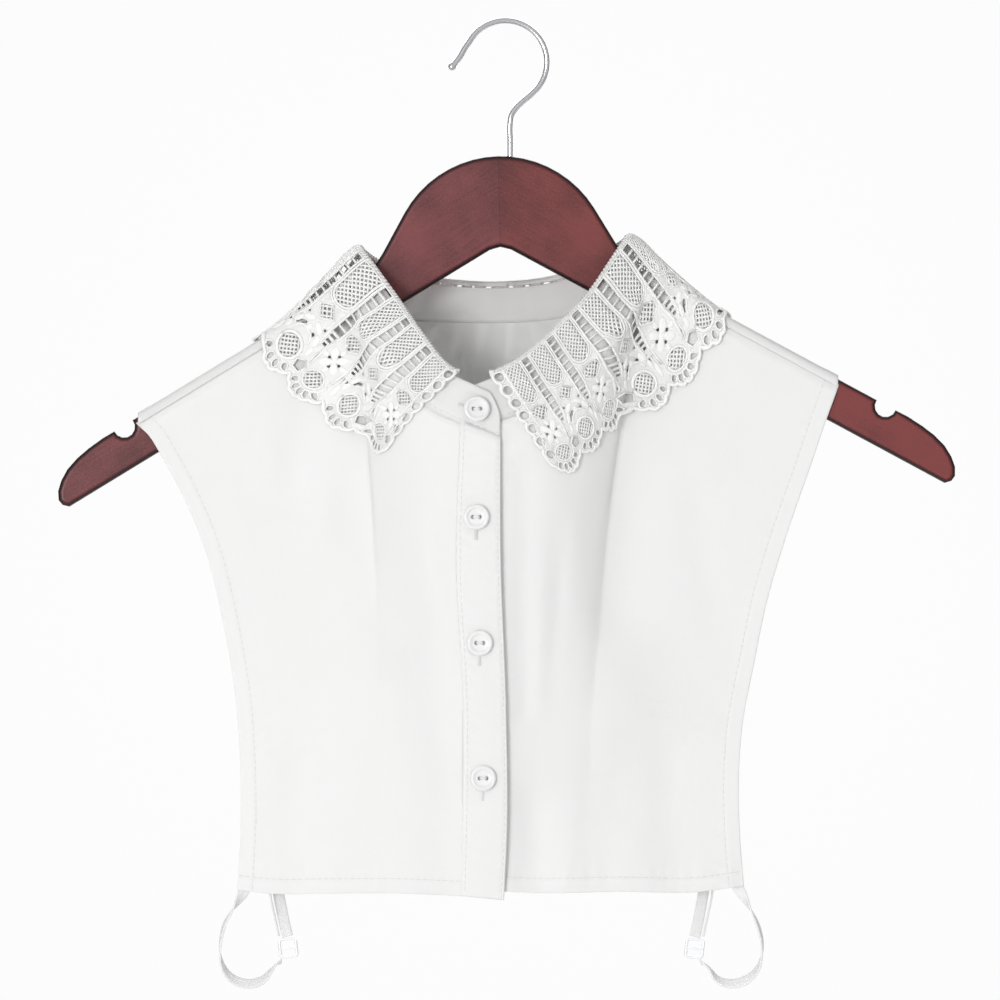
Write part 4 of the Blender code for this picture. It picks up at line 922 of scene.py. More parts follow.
def link(name, mesh, material):
    """Makes an object of a mesh; it rides on the garment's one body."""
    mesh.materials.append(material)
    obj = place_object(name, mesh)
    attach(obj, "root")
    return obj


def stands_for(obj, node):
    """Hides the node of the part that a piece stands for, and returns the piece."""
    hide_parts(node)
    return obj


def thicken(obj, thick):
    """Makes a shell of a sheet, on its inner side."""
    shell = obj.modifiers.new("thickness", "SOLIDIFY")
    shell.thickness = thick * MM
    shell.offset = -1.0


def carve(obj, tool):
    """Cuts a tool's shape out of an object for good, and returns the new mesh."""
    cut = obj.modifiers.new("cut", "BOOLEAN")
    cut.operation = "DIFFERENCE"
    cut.object = tool
    bpy.context.view_layer.update()
    solid = bpy.data.meshes.new_from_object(obj.evaluated_get(bpy.context.evaluated_depsgraph_get()))
    obj.modifiers.clear()
    obj.data = solid
    return solid


def compact(faces, count):
    """Which of so many points the faces use, and the faces in their new numbers."""
    used = np.unique(faces)
    index = np.full(count, -1)
    index[used] = np.arange(len(used))
    return used, index[faces].tolist()


def make_mesh(name, points, faces, marks, material, sharp=None):
    """Makes an object from points in millimetres; marks is a vector for each point, which materials read."""
    mesh = bpy.data.meshes.new(name)
    mesh.from_pydata((np.asarray(points) * MM).tolist(), [], [tuple(face) for face in faces])
    if marks is not None:
        layer = mesh.attributes.new("thread", "FLOAT_VECTOR", "POINT")
        layer.data.foreach_set("vector", np.asarray(marks, np.float32).reshape(-1))
    mesh.validate()
    mesh.shade_smooth()
    if sharp:
        mesh.set_sharp_from_angle(angle=math.radians(sharp))
    return link(name, mesh, material)


def lengths_along(grid, axis):
    """How far each point of a grid lies along its row or column, in millimetres."""
    steps = np.linalg.norm(np.diff(grid, axis=axis), axis=2)
    zero = np.zeros_like(np.take(steps, [0], axis=axis))
    return np.concatenate([zero, np.cumsum(steps, axis=axis)], axis=axis)


def cloth_mesh(name, grid, quads, material, thick):
    """A thin shell of cloth on a grid of outer points, with its plan in millimetres for the weave."""
    across, down = lengths_along(grid, 1), lengths_along(grid, 0)
    marks = np.stack([across, down, np.zeros_like(across)], axis=-1).reshape(-1, 3)
    points = grid.reshape(-1, 3)
    used, faces = compact(quads, len(points))
    obj = make_mesh(name, points[used], faces, marks[used], material)
    thicken(obj, thick)
    return obj


def wrinkles(points, seed, broad=0.45, fine=0.1):
    """The slight unevenness of hung cloth, in millimetres along the normal."""
    result = np.zeros(points.shape[:2])
    for row in range(points.shape[0]):
        for column in range(points.shape[1]):
            x, y, z = points[row, column]
            result[row, column] = broad * noise.noise((x / 30 + seed, y / 60, z / 55))
            result[row, column] += fine * noise.noise((x / 9, y / 20 + seed, z / 12))
    return result


def turned_edge(distance, wide, rise):
    """The step of a turned and stitched edge, with the groove that its stitches pull."""
    step = rise * smooth((wide + 0.6 - distance) / 1.2)
    groove = -0.34 * np.exp(-(((distance - wide + 0.9) / 0.7) ** 2))
    return step + groove


def pucker(distance, along, wide, depth, wave, seed):
    """Small waves that a stitched line draws up beside it."""
    shift = np.array([2.0 * noise.noise((a / 25.0, seed, 0.0)) for a in along.reshape(-1)])
    waves = depth * np.sin(2 * math.pi * along / wave + 3.0 * shift.reshape(along.shape))
    return waves * np.exp(-(((distance - wide) / 6.0) ** 2))


class Stitches:
    """Collects short threads that lie along seam lines on the cloth."""

    def __init__(self):
        self.points = []
        self.faces = []

    def line(self, path, normals, long=STITCH_LONG, gap=STITCH_GAP):
        """Stitches along a path of points, each one sunk at both ends."""
        total = lengths_of(path)
        at = 0.5
        while at + long < total[-1]:
            marks = np.array([at, at + long * 0.25, at + long * 0.75, at + long])
            ways = read_along(marks, total, normals)
            places = read_along(marks, total, path) + ways * np.array([-0.12, 0.1, 0.1, -0.12])[:, None]
            self.tube(places, ways)
            at += long + gap

    def tube(self, places, ways, radius=THREAD):
        """One thread with five sides."""
        base = len(self.points)
        along = unit(places[-1] - places[0])
        for place, way in zip(places, ways):
            beside = unit(np.cross(along, way))
            self.points += [place + radius * (beside * across + way * up) for across, up in circle(5)]
        self.faces += tube_faces(len(places), 5, base) + cap_faces(len(places), 5, base)

    def build(self, name, material):
        """The object of all the threads."""
        return make_mesh(name, np.array(self.points), self.faces, np.zeros((len(self.points), 3)), material)


def line_at(grid, normals, distance, wide):
    """The path on a grid where a distance field, one value a point, equals wide; one place a row."""
    path = []
    ways = []
    for row in range(grid.shape[0]):
        order = np.argsort(distance[row])
        for found, values in ((path, grid), (ways, normals)):
            found.append([np.interp(wide, distance[row][order], values[row, order, k]) for k in range(3)])
    return np.array(path), np.array(ways)


def line_across(grid, normals, distance, wide):
    """The same path, with one place a column."""
    return line_at(np.transpose(grid, (1, 0, 2)), np.transpose(normals, (1, 0, 2)), distance.T, wide)


def edge_relief(from_side, from_hem, down, along, seed):
    """The turned and stitched armholes and hem of a panel."""
    raised = turned_edge(from_side, BAND_WIDE, 0.28) + turned_edge(from_hem, HEM_WIDE, 0.28)
    raised += pucker(from_side, down, BAND_WIDE, 0.16, 8.0, seed)
    raised += pucker(from_hem, along, HEM_WIDE, 0.2, 9.0, seed + 1.0)
    return raised


# Cloth panels


FINE_SIDE = 0.1
FINE_HEM = 0.05


def fine_down(rows):
    """Row shares of a shown panel, closer at the top and beside the hem."""
    return shares_to((0.03, 8), (1.0 - FINE_HEM, rows), (1.0, 20))


def shares_to(*stretches):
    """Even shares in several stretches, each given by its end and its count; the last one keeps its end."""
    low = 0.0
    parts = []
    for number, (high, count) in enumerate(stretches, start=1):
        parts.append(np.linspace(low, high, count, endpoint=number == len(stretches)))
        low = high
    return np.concatenate(parts)


def shown_front(left, stitches, material):
    """One front panel with its creases, turned armhole and hem, darts and stitched lines."""
    across = shares_to((0.03, 6), (NECK_SHARE, 36), (1.0 - FINE_SIDE, 40), (1.0, 20))
    grid = front_grid(left, across, fine_down(104), FRONT_CREASES + FRONT_SOFT_CREASES)
    normals = surface_normals(grid, forward)
    along, down = lengths_along(grid, 1), lengths_along(grid, 0)
    from_side, from_hem = along[:, -1:] - along, down[-1:] - down
    seed = 3.0 if left else 7.0
    raised = edge_relief(from_side, from_hem, down, along, seed) + wrinkles(grid, seed)
    raised = raised * smooth(down / 10.0) - 0.3 * np.exp(-(down**2))
    for dart in DARTS:
        raised += dart_depth(grid, dart)
    shown = grid + normals * raised[..., None]
    tuck_top(shown, normals, shoulder_part(across))
    shown[..., 1] = np.minimum(shown[..., 1], -WOOD_THICK / 2 - SHIRTING - 0.2)
    stitches.line(*line_at(shown, normals, from_side, BAND_WIDE - 0.9))
    stitches.line(*line_across(shown, normals, from_hem, HEM_WIDE - 0.9))
    name = "left_front_cloth" if left else "right_front_cloth"
    return cloth_mesh(name, shown, grid_quads(shown, forward), material, SHIRTING)


def shoulder_part(across):
    """A weight that is one along the shoulder and nought along the neck."""
    return smooth((np.array(across) - NECK_SHARE + 0.01) / 0.01)


def tuck_top(grid, normals, over):
    """Carries a panel's top edge on a little way under the piece that is sewn to it."""
    up = unit_rows(grid[0] - grid[3])
    for row, (out, rise) in enumerate(((-0.75, 1.5), (-0.7, 0.7), (-0.35, 0.1))):
        grid[row] = grid[row] + normals[row] * out + up * rise * (0.5 + 0.5 * over[:, None])


def unit_rows(vectors):
    """Each row of vectors at length one."""
    return vectors / np.maximum(np.linalg.norm(vectors, axis=-1, keepdims=True), 1e-9)


def dart_depth(grid, dart):
    """A sewn dart: a fine groove with a faint swelling beside it."""
    line = np.exp(-((distance_to(grid, dart) / 0.7) ** 2))
    swell = np.exp(-((distance_to(grid, dart) / 5.0) ** 2))
    return -0.45 * line + 0.2 * swell


def distance_to(grid, line):
    """How far the points of a grid lie from a line in the front view."""
    start, end = np.array(line[:2]), np.array(line[2:4])
    way = end - start
    from_start = grid[..., (0, 2)] - start
    share = np.clip(from_start @ way / (way @ way), 0.0, 1.0)
    return np.linalg.norm(from_start - share[..., None] * way, axis=-1)


def shown_back(stitches, material):
    """The back with its shoulders, creases, turned armholes and hem."""
    section_curve = Curve(SHOULDER_SECTION, range(len(SHOULDER_SECTION)))
    section = [section_curve(mark) for mark in np.linspace(0.0, WRAP_LAST, 29)]
    fine = LEFT_SHARE * FINE_SIDE / 0.5
    across = shares_to((fine, 20), (LEFT_SHARE, 34), (RIGHT_SHARE, 60), (1.0 - fine, 34), (1.0, 20))
    grid = back_grid(section, across, fine_down(84), BACK_CREASES + BACK_SOFT_CREASES)
    wraps = len(section) - 1
    normals = surface_normals(grid, outward)
    body_normals = surface_normals(grid[wraps:], outward)
    inner = (across > LEFT_SHARE - 1e-9) & (across < RIGHT_SHARE + 1e-9)
    normals[wraps + 1 :, inner] = body_normals[1:, inner]
    neck = (across > LEFT_SHARE + 1e-6) & (across < RIGHT_SHARE - 1e-6)
    normals[wraps, neck] = body_normals[0, neck]
    along, down = lengths_along(grid, 1), lengths_along(grid, 0)
    from_side = np.minimum(along, along[:, -1:] - along)
    from_hem = down[-1:] - down
    raised = edge_relief(from_side, from_hem, down, along, 11.0) + wrinkles(grid, 15.0)
    raised[wraps:] *= smooth((down[wraps:] - down[wraps]) / 12.0)
    raised[:wraps] = turned_edge(from_side[:wraps], BAND_WIDE, 0.28)
    shown = grid + normals * raised[..., None]
    body, ways = shown[wraps:], normals[wraps:]
    for from_edge in (along, along[:, -1:] - along):
        stitches.line(*line_at(body, ways, from_edge[wraps:], BAND_WIDE - 0.9))
    stitches.line(*line_across(body, ways, from_hem[wraps:], HEM_WIDE - 0.9))
    quads = grid_quads(shown, outward, shoulder_only(across, wraps))
    return cloth_mesh("back_cloth", shown, quads, material, SHIRTING)


def shown_placket(stitches, material):
    """The folded placket with its stitched edges."""
    grid = placket_grid(42, 190)
    normals = surface_normals(grid, forward)
    along, down = lengths_along(grid, 1), lengths_along(grid, 0)
    from_edge = along[:, -1:] - along
    raised = -0.42 * np.exp(-(((along - 1.3) / 0.5) ** 2)) - 0.3 * np.exp(-(((from_edge - 1.6) / 0.6) ** 2))
    raised += pucker(along, down, 1.5, 0.16, 7.0, 21.0) + pucker(from_edge, down, 1.5, 0.12, 9.0, 23.0)
    raised += wrinkles(grid, 27.0, 0.3, 0.08)
    raised -= 0.4 * np.exp(-((from_edge / 0.4) ** 2))
    shown = grid + normals * (raised + 0.2)[..., None]
    shown[:, 0] += np.array([-1.1, 1.3, 0.0])
    shown[:, 1] += np.array([-0.6, 0.35, 0.0])
    shown[0:2, :, 2] += np.array([1.6, 0.6])[:, None]
    shown[0:2, :, 1] += np.array([1.2, 0.7])[:, None]
    for distance in (along, from_edge):
        stitches.line(*line_at(shown, normals, distance, 1.4))
    return cloth_mesh("placket_cloth", shown, grid_quads(shown, forward), material, 1.3)


def shown_stand(stitches, material):
    """The collar stand, its lower edge tucked behind the seam."""
    grid = stand_grid(np.linspace(0.0, len(NECK_RING) - 1.0, 330), 16, lift=0.0)
    normals = surface_normals(grid, outward)
    along, down = lengths_along(grid, 1), lengths_along(grid, 0)
    from_seam = down[-1:] - down
    raised = -0.28 * np.exp(-(((from_seam - 1.6) / 0.6) ** 2))
    raised += pucker(from_seam, along, 1.6, 0.12, 8.0, 31.0)
    raised += wrinkles(grid, 35.0, 0.25, 0.06) * 0.6
    shown = grid + normals * raised[..., None]
    shown[-1] = shown[-1] + unit_rows(shown[-1] - shown[-4]) - normals[-1] * 0.75
    shown[-2] = shown[-2] - normals[-2] * 0.3
    stitches.line(*line_across(shown, normals, from_seam, 1.6))
    return cloth_mesh("collar_stand_cloth", shown, grid_quads(shown, outward), material, INTERFACED)


def ways_along(path, closed):
    """The unit direction of a path at each of its points."""
    if closed:
        return unit_rows(np.roll(path, -1, axis=0) - np.roll(path, 1, axis=0))
    return unit_rows(np.gradient(path, axis=0))


# Lace


class Lace:
    """One half of the lace in the flat plan: gaps in its ground, and the cords, nets and pads laid on it."""

    def __init__(self, first, last):
        self.low = first * PITCH
        self.high = last * PITCH
        self.holes = []
        self.points = []
        self.marks = []
        self.faces = []

    def holds(self, x):
        """Whether a place along the plan belongs to this half."""
        return self.low <= x <= self.high

    def cord(self, path, radius=CORD, height=-0.35, sides=6, closed=False, flat=0.8):
        """A cord along a path in the plan, with its length and turn kept for the twist in its material."""
        path = np.array(path, float)
        if not self.holds(path[:, 0].mean()):
            return
        heights = np.broadcast_to(height, (len(path),))
        radii = np.broadcast_to(radius, (len(path),))
        ways = ways_along(path, closed)
        beside = np.stack([ways[:, 1], -ways[:, 0]], axis=1)
        steps = lengths_of(path)
        base = len(self.points)
        turns = circle(sides)
        for k in range(len(path)):
            for across, up in turns:
                x, y = path[k] + beside[k] * radii[k] * across
                self.points.append((x, y, heights[k] + radii[k] * flat * up))
                self.marks.append((steps[k], across, up))
        self.faces += tube_faces(len(path), sides, base, closed)
        if not closed:
            self.faces += cap_faces(len(path), sides, base)

    def pad(self, centre, along, across, turn, rise=0.55):
        """A satin-stitched leaf or petal: a low crowned oval with a ridge of stitches."""
        if not self.holds(centre[0]):
            return
        rings = ((1.0, -0.62), (0.93, -0.3), (0.7, 0.0), (0.35, 0.18))
        sides = 12
        base = len(self.points)
        cosine, sine = math.cos(turn), math.sin(turn)
        for share, lift_share in rings:
            for over, up in circle(sides):
                x, y = along * share * over, across * share * up
                place = (centre[0] + x * cosine - y * sine, centre[1] + x * sine + y * cosine)
                self.points.append((*place, lift_share * rise - 0.1))
                self.marks.append((x, 0.0, 1.0))
        self.faces += tube_faces(len(rings), sides, base) + cap_faces(len(rings), sides, base)

    def net(self, outline, step=NET_STEP, radius=NET_THREAD):
        """Fills an outline with a diagonal net of fine threads, and cuts the ground away under it."""
        outline = np.array(outline, float)
        if not self.holds(outline[:, 0].mean()):
            return
        self.holes.append(outline)
        middle = outline.mean(axis=0)
        for turn, height in ((math.pi / 4, -0.37), (-math.pi / 4, -0.53)):
            way = np.array([math.cos(turn), math.sin(turn)])
            beside = np.array([-way[1], way[0]])
            shares = (outline - middle) @ beside
            count = int((shares.max() - shares.min()) / step)
            for k in range(count):
                offset = shares.min() + (k + 0.5) * (shares.max() - shares.min()) / count
                origin = middle + beside * offset
                for low, high in crossings(outline, origin, way):
                    steps = max(1, round((high - low) / NET_PIECE))
                    line = [origin + way * (low + (high - low) * s / steps) for s in range(steps + 1)]
                    self.cord(line, radius, height, 4, flat=1.0)

    def hole(self, outline):
        """A gap that is cut through the ground."""
        outline = np.array(outline, float)
        if self.holds(outline[:, 0].mean()):
            self.holes.append(outline)

    def box_hole(self, x, y, half_wide, half_high):
        """A square-cornered gap round a place."""
        left, right, low, high = x - half_wide, x + half_wide, y - half_high, y + half_high
        self.hole([(left, low), (right, low), (right, high), (left, high)])

    def ringed_hole(self, outline, radius=0.4):
        """A gap with a cord round it."""
        self.hole(outline)
        self.cord(outline, radius, -0.35, 5, closed=True)


def crossings(outline, origin, way):
    """The stretches of a line that lie inside an outline, as pairs of distances along it."""
    beside = np.array([-way[1], way[0]])
    after = np.roll(outline, -1, axis=0)
    here, there = (outline - origin) @ beside, (after - origin) @ beside
    along_here, along_there = (outline - origin) @ way, (after - origin) @ way
    crossed = (here > 0) != (there > 0)
    shares = here[crossed] / (here[crossed] - there[crossed])
    marks = np.sort(along_here[crossed] + (along_there - along_here)[crossed] * shares)
    return list(zip(marks[::2], marks[1::2]))


def arc(centre, radius, start, end, count, squash=1.0):
    """Points of an arc in the plan; an angle of 0 points along the repeats and 90 outwards."""
    angles = np.radians(np.linspace(start, end, count))
    x, y = centre[0] + radius * np.cos(angles), centre[1] + radius * squash * np.sin(angles)
    return np.stack([x, y], axis=1)


def ring(centre, radius, count, squash=1.0, turn=0.0):
    """A closed round outline in the plan."""
    return arc(centre, radius, turn, turn + 360.0, count + 1, squash)[:-1]


def straight(start, end, step=2.6):
    """Points along a straight line in the plan."""
    start, end = np.array(start, float), np.array(end, float)
    count = max(1, round(float(np.linalg.norm(end - start)) / step))
    return start + (end - start) * np.linspace(0.0, 1.0, count + 1)[:, None]


def smooth_edge(x):
    """How far the leaf's outer edge reaches at a place along the plan, without its small lobes."""
    repeat = np.asarray(x, float) / PITCH
    reach = LEAF_LONG - NOTCH_DEEP * (1.0 - np.abs(np.cos(math.pi * (repeat - FIRST_TONGUE))))
    from_end = np.clip(np.minimum(repeat, REPEATS - repeat), 0.0, None)
    corner = np.sqrt(np.clip(1.0 - (1.0 - from_end / FIRST_TONGUE) ** 2, 0.0, 1.0))
    return np.where(from_end < FIRST_TONGUE, 52.0 + (LEAF_LONG - 52.0) * corner, reach)


def scallop(x):
    """How far the leaf's outer edge reaches, with a small lobe round each gap along it."""
    place = np.asarray(x, float) / PITCH - FIRST_TONGUE + 0.5
    k = np.floor(place)
    lobes = np.where(flowered(k), 5.0, 4.0)
    wave = np.abs(np.sin(math.pi * lobes * (place - k))) ** 0.75
    return smooth_edge(x) - LOBE_DEEP * (1.0 - wave)


def flowered(k):
    """True for the tongues with a flower: the first, third and so on from either front edge."""
    k = np.asarray(k)
    return np.where(k < TONGUES / 2, k, TONGUES - 1 - k) % 2 == 0


def tongue(lace, x):
    """A net-filled tongue with its double cord."""
    end = FOLD_Y + 16.4
    lace.net([(x + 4.6, FOLD_Y + 1.5), *arc((x, end), 4.6, 0.0, 180.0, 9), (x - 4.6, FOLD_Y + 1.5)])
    reach = 5.05
    right = straight((x + reach, FOLD_Y - 0.5), (x + reach, end))
    left = straight((x - reach, end), (x - reach, FOLD_Y - 0.5))
    lace.cord(np.concatenate([right, arc((x, end), reach, 0.0, 180.0, 13)[1:-1], left]))
    lace.cord(arc((x, end), 6.15, 20.0, 160.0, 11), CORD * 0.8)


def ladder(lace, x):
    """The double cords between two tongues, with square gaps between its rungs."""
    for side in (-1, 1):
        down = straight((x + side * 2.6, FOLD_Y - 0.5), (x + side * 2.6, 37.0))
        lace.cord(np.concatenate([down, [(x + side * 2.0, 40.0), (x + side * 1.2, 43.4)]]), CORD * 0.95)
    half = 2.05
    for rung in range(RUNGS):
        y = RUNG_FIRST + RUNG_STEP * rung
        lace.box_hole(x, y, half, 1.3)
        lace.cord([(x + over, y + RUNG_STEP / 2) for over in (-half, 0.0, half)], 0.34, -0.4, 5)
    for y, half in ((36.2, 1.5), (38.6, 1.2), (40.7, 0.8)):
        lace.box_hole(x, y, half, 0.6)


def flower_motif(lace, x):
    """Below the odd tongues: a small net, a flower with four gaps and a net-filled round."""
    lace.net([(x - 4.4, 30.2), (x, 28.8), (x + 4.4, 30.2), (x + 4.4, 32.6), (x, 35.6), (x - 4.4, 32.6)])
    lace.cord([(x - 5.0, 29.6), (x - 4.9, 33.0), (x, 36.4), (x + 4.9, 33.0), (x + 5.0, 29.6)], CORD * 0.8)
    centre = (x, 42.6)
    for quarter in range(4):
        angle = quarter * math.pi / 2
        gap = (x + 2.9 * math.cos(angle), 42.6 + 2.9 * math.sin(angle))
        lace.hole(ring(gap, 0.75, 8))
        petal = angle + math.pi / 4
        lace.pad((x + 3.5 * math.cos(petal), 42.6 + 3.5 * math.sin(petal)), 2.7, 1.75, petal)
        lace.pad((x + 5.3 * math.cos(angle), 42.6 + 4.9 * math.sin(angle)), 1.5, 1.1, angle, 0.4)
    lace.pad(centre, 1.5, 1.5, 0.0, 0.7)
    lace.net(ring((x, 53.4), 4.1, 14, 0.86))
    lace.cord(ring((x, 53.4), 4.65, 18, 0.86), CORD, closed=True)
    lace.cord(arc((x, 53.0), 6.2, 168.0, 372.0, 15, -0.9), CORD * 0.8)
    for side in (-1, 1):
        stem = ((6.3, 36.6), (7.0, 41.0), (6.6, 46.0), (6.0, 50.6))
        lace.cord([(x + side * over, y) for over, y in stem])
        lace.cord([(x + side * over, y) for over, y in ((7.6, 44.4), (7.7, 47.0), (7.0, 50.0))], CORD * 0.8)


def arch_motif(lace, x):
    """Below the even tongues: a small net diamond, and a leafy arch over a net-filled round."""
    lace.net([(x, 28.6), (x + 3.7, 31.8), (x, 35.2), (x - 3.7, 31.8)])
    lace.cord([(x, 27.9), (x + 4.5, 31.8), (x, 36.0), (x - 4.5, 31.8)], CORD * 0.8, closed=True)
    for side in (-1, 1):
        lace.pad((x + side * 3.0, 38.6), 2.7, 1.25, side * 0.55)
        lace.pad((x + side * 5.9, 42.4), 2.5, 1.15, side * 1.15)
        lace.pad((x + side * 7.1, 47.0), 2.2, 1.0, side * 1.45)
        lace.hole(ring((x + side * 3.1, 42.0), 0.8, 8))
        lace.hole(ring((x + side * 5.0, 37.2), 0.6, 6))
    slit = np.concatenate([arc((x, 46.4), 6.4, -72.0, -22.0, 7), arc((x, 46.4), 5.4, -22.0, -72.0, 7)])
    lace.hole(slit)
    lace.pad((x, 41.2), 1.6, 1.0, math.pi / 2, 0.5)
    lace.cord(arc((x, 46.4), 4.6, 180.0, 360.0, 12), CORD)
    lace.net(ring((x, 51.6), 4.5, 16))
    lace.cord(ring((x, 51.6), 5.2, 22), CORD * 1.45, -0.25, closed=True)


def picots(lace, x, centre_y, inner, count):
    """The gaps between a round and the edge of its scallop, one under each lobe."""
    centre = np.array([x, centre_y])
    for j in range(count):
        over = x + ((j + 0.5) / count - 0.5) * PITCH
        tip = np.array([over, float(smooth_edge(over)) - 1.5])
        way = unit(tip - centre)
        beside = np.array([way[1], -way[0]])
        half = (float(np.linalg.norm(tip - centre)) - inner - 0.9) / 2
        if half < 0.7:
            continue
        middle = centre + way * (inner + 0.6 + half)
        wide = min(1.35, 0.8 * half + 0.5)
        outline = [middle + way * half * cosine + beside * wide * sine for cosine, sine in circle(10)]
        lace.ringed_hole(outline, 0.38)


def link_gap(lace, x, pentagon):
    """What joins two motifs beside a notch of the edge: a large five-sided gap, or a bar with small gaps."""
    if pentagon:
        lace.ringed_hole(ring((x, 53.2), 2.9, 5, 1.0, -90.0), 0.45)
        lace.hole(ring((x - 1.6, 46.2), 0.6, 6))
        lace.hole(ring((x + 1.4, 47.6), 0.7, 6))
    else:
        lace.pad((x, 51.0), 3.3, 1.0, math.pi / 2, 0.5)
        lace.hole([(x - 1.7, 45.4), (x - 0.5, 44.6), (x - 0.7, 48.0)])
        lace.hole([(x + 1.7, 45.4), (x + 0.5, 44.6), (x + 0.7, 48.0)])


def front_lobe(y):
    """How far the lace's front edge stands in from the plan's end, with a lobe round each of its gaps."""
    share = (np.asarray(y, float) - STRIP_FIRST) / STRIP_STEP + 0.5
    lobed = 1.8 - 1.8 * np.abs(np.sin(math.pi * share)) ** 0.8
    return np.where((share > 0.0) & (share < 6.8), lobed, 0.6)


def front_strip(lace, end, inward):
    """The row of round gaps along a front edge of the lace, and the lobed cord round them."""
    edge = [(end + inward * (0.75 + float(front_lobe(y))), y) for y in np.arange(1.0, 51.4, 0.7)]
    for k in range(STRIP_HOLES):
        y = STRIP_FIRST + STRIP_STEP * k
        middle = (end + inward * (3.5 + (0.7 if k == STRIP_HOLES - 1 else 0.0)), y)
        lace.ringed_hole(ring(middle, 2.45, 14, 1.05), 0.45)
    corner = np.linspace(0.9, FIRST_TONGUE * PITCH - 2.0, 12)
    edge += [(end + inward * (x + 0.5), float(scallop(end + inward * x)) - 0.8) for x in corner]
    lace.cord(edge, EDGE_CORD, -0.35)
    lace.cord(straight((end + inward * 6.7, 5.0), (end + inward * 6.9, 50.0)), CORD)


def fold_stitches(lace):
    """The slanting stitches over the fold and the plain cord below them."""
    x = lace.low + 1.0
    while x < lace.high - 1.0:
        lace.cord([(x - 0.5, 2.6), (x, 4.6), (x + 0.5, 6.6)], 0.34, -0.2, 5)
        x += 1.5
    lace.cord(straight((lace.low + 0.2, 7.0), (lace.high - 0.2, 7.0)), 0.36, -0.3)


def outer_cord(lace):
    """The lobed cord along the outer edge, between the corners."""
    start = max(lace.low, FIRST_TONGUE * PITCH - 2.0)
    end = min(lace.high, (REPEATS - FIRST_TONGUE) * PITCH + 2.0)
    xs = np.minimum(np.arange(start, end + 0.4, 0.6), end)
    lace.cord(np.stack([xs, scallop(xs) - 0.85], axis=1), EDGE_CORD, -0.3)


def draw_lace(first, last):
    """All the cords, nets, pads and gaps of one half."""
    lace = Lace(first, last)
    for k in range(TONGUES):
        x = (FIRST_TONGUE + k) * PITCH
        if not lace.low - PITCH < x < lace.high + PITCH:
            continue
        tongue(lace, x)
        if flowered(k):
            flower_motif(lace, x)
            picots(lace, x, 53.0, 4.6, 5)
        else:
            arch_motif(lace, x)
            picots(lace, x, 51.6, 6.0, 4)
        if k < TONGUES - 1:
            ladder(lace, x + PITCH / 2)
            link_gap(lace, x + PITCH / 2, k % 2 == 0)
    if lace.low == 0.0:
        front_strip(lace, 0.0, 1.0)
    else:
        front_strip(lace, REPEATS * PITCH, -1.0)
    fold_stitches(lace)
    outer_cord(lace)
    return lace


def settle(y):
    """How far the lace sinks towards the cloth under it, below the roll at the fold."""
    return -LACE_SETTLES * smooth((np.asarray(y) - 9.0) / 12.0)


def inside(points, outline):
    """Which points lie inside an outline."""
    result = np.zeros(len(points), bool)
    after = np.roll(outline, -1, axis=0)
    for (ax, ay), (bx, by) in zip(outline, after):
        if ay == by:
            continue
        crossed = (ay > points[:, 1]) != (by > points[:, 1])
        result ^= crossed & (points[:, 0] < (bx - ax) * (points[:, 1] - ay) / (by - ay) + ax)
    return result


def ground_plan(lace):
    """Points and triangles of the lace's ground, with its gaps left out."""
    low, high = lace.low, lace.high
    edge = np.append(np.arange(low, high - 0.4, 0.7), high)
    downs = np.append(0.0, np.arange(1.6, 51.8, 0.8))
    starts = [low + 0.5 + float(front_lobe(y)) if low == 0.0 else low for y in downs]
    ends = [high - 0.5 - float(front_lobe(y)) if low > 0.0 else high for y in downs]
    outline = list(zip(starts, downs))
    margin = 0.8
    first = low + margin if low == 0.0 else low
    last = high - margin if low > 0.0 else high
    outline += [(x, float(scallop(x)) - 0.5) for x in edge if first <= x <= last]
    outline += list(zip(ends[::-1], downs[::-1]))
    outline += [(x, 0.0) for x in np.arange(high - 2.5, low + 1.0, -2.5)]
    points = []
    edges = []
    for loop in (outline, *lace.holes):
        base = len(points)
        points += [tuple(p) for p in loop]
        edges += [(base + k, base + (k + 1) % len(loop)) for k in range(len(loop))]
    across = np.arange(low + 1.0, high - 0.8, 2.2)
    spread = np.array([(x, y) for y in np.arange(1.2, LEAF_LONG, 1.9) for x in across])
    taken = spread[:, 1] > scallop(spread[:, 0]) - 1.2
    for hole in lace.holes:
        middle = hole.mean(axis=0)
        reach = np.linalg.norm(hole - middle, axis=1).max() + 0.3
        taken |= np.linalg.norm(spread - middle, axis=1) < reach
    points += [tuple(p) for p in spread[~taken]]
    result = delaunay_2d_cdt([Vector(p) for p in points], edges, [], 0, 1e-4)
    plan = np.array([tuple(p) for p in result[0]])
    triangles = np.array([t for t in result[2] if len(t) == 3])
    middles = plan[triangles].mean(axis=1)
    kept = inside(middles, np.array(outline))
    for hole in lace.holes:
        within = (middles > hole.min(axis=0)) & (middles < hole.max(axis=0))
        near = np.where(within.all(axis=1))[0]
        kept[near[inside(middles[near], hole)]] = False
    return plan, triangles[kept]


def make_lace(side, first, last, leaf, ground_material, cord_material):
    """One half of the lace: its ground with the gaps cut through, and its cords, nets and pads."""
    lace = draw_lace(first, last)
    plan, triangles = ground_plan(lace)
    flat = np.column_stack([plan, -0.42 + settle(plan[:, 1])])
    used, faces = compact(triangles, len(flat))
    ground = make_mesh(f"lace_ground_{side}", leaf(flat[used]), faces, flat[used], ground_material)
    thicken(ground, LACE_GROUND)
    laid = np.array(lace.points)
    laid[:, 2] += settle(laid[:, 1])
    cords = make_mesh(f"lace_cords_{side}", leaf(laid), lace.faces, np.array(lace.marks), cord_material)
    return ground, cords


# Buttons, straps, sliders, hanger and hook


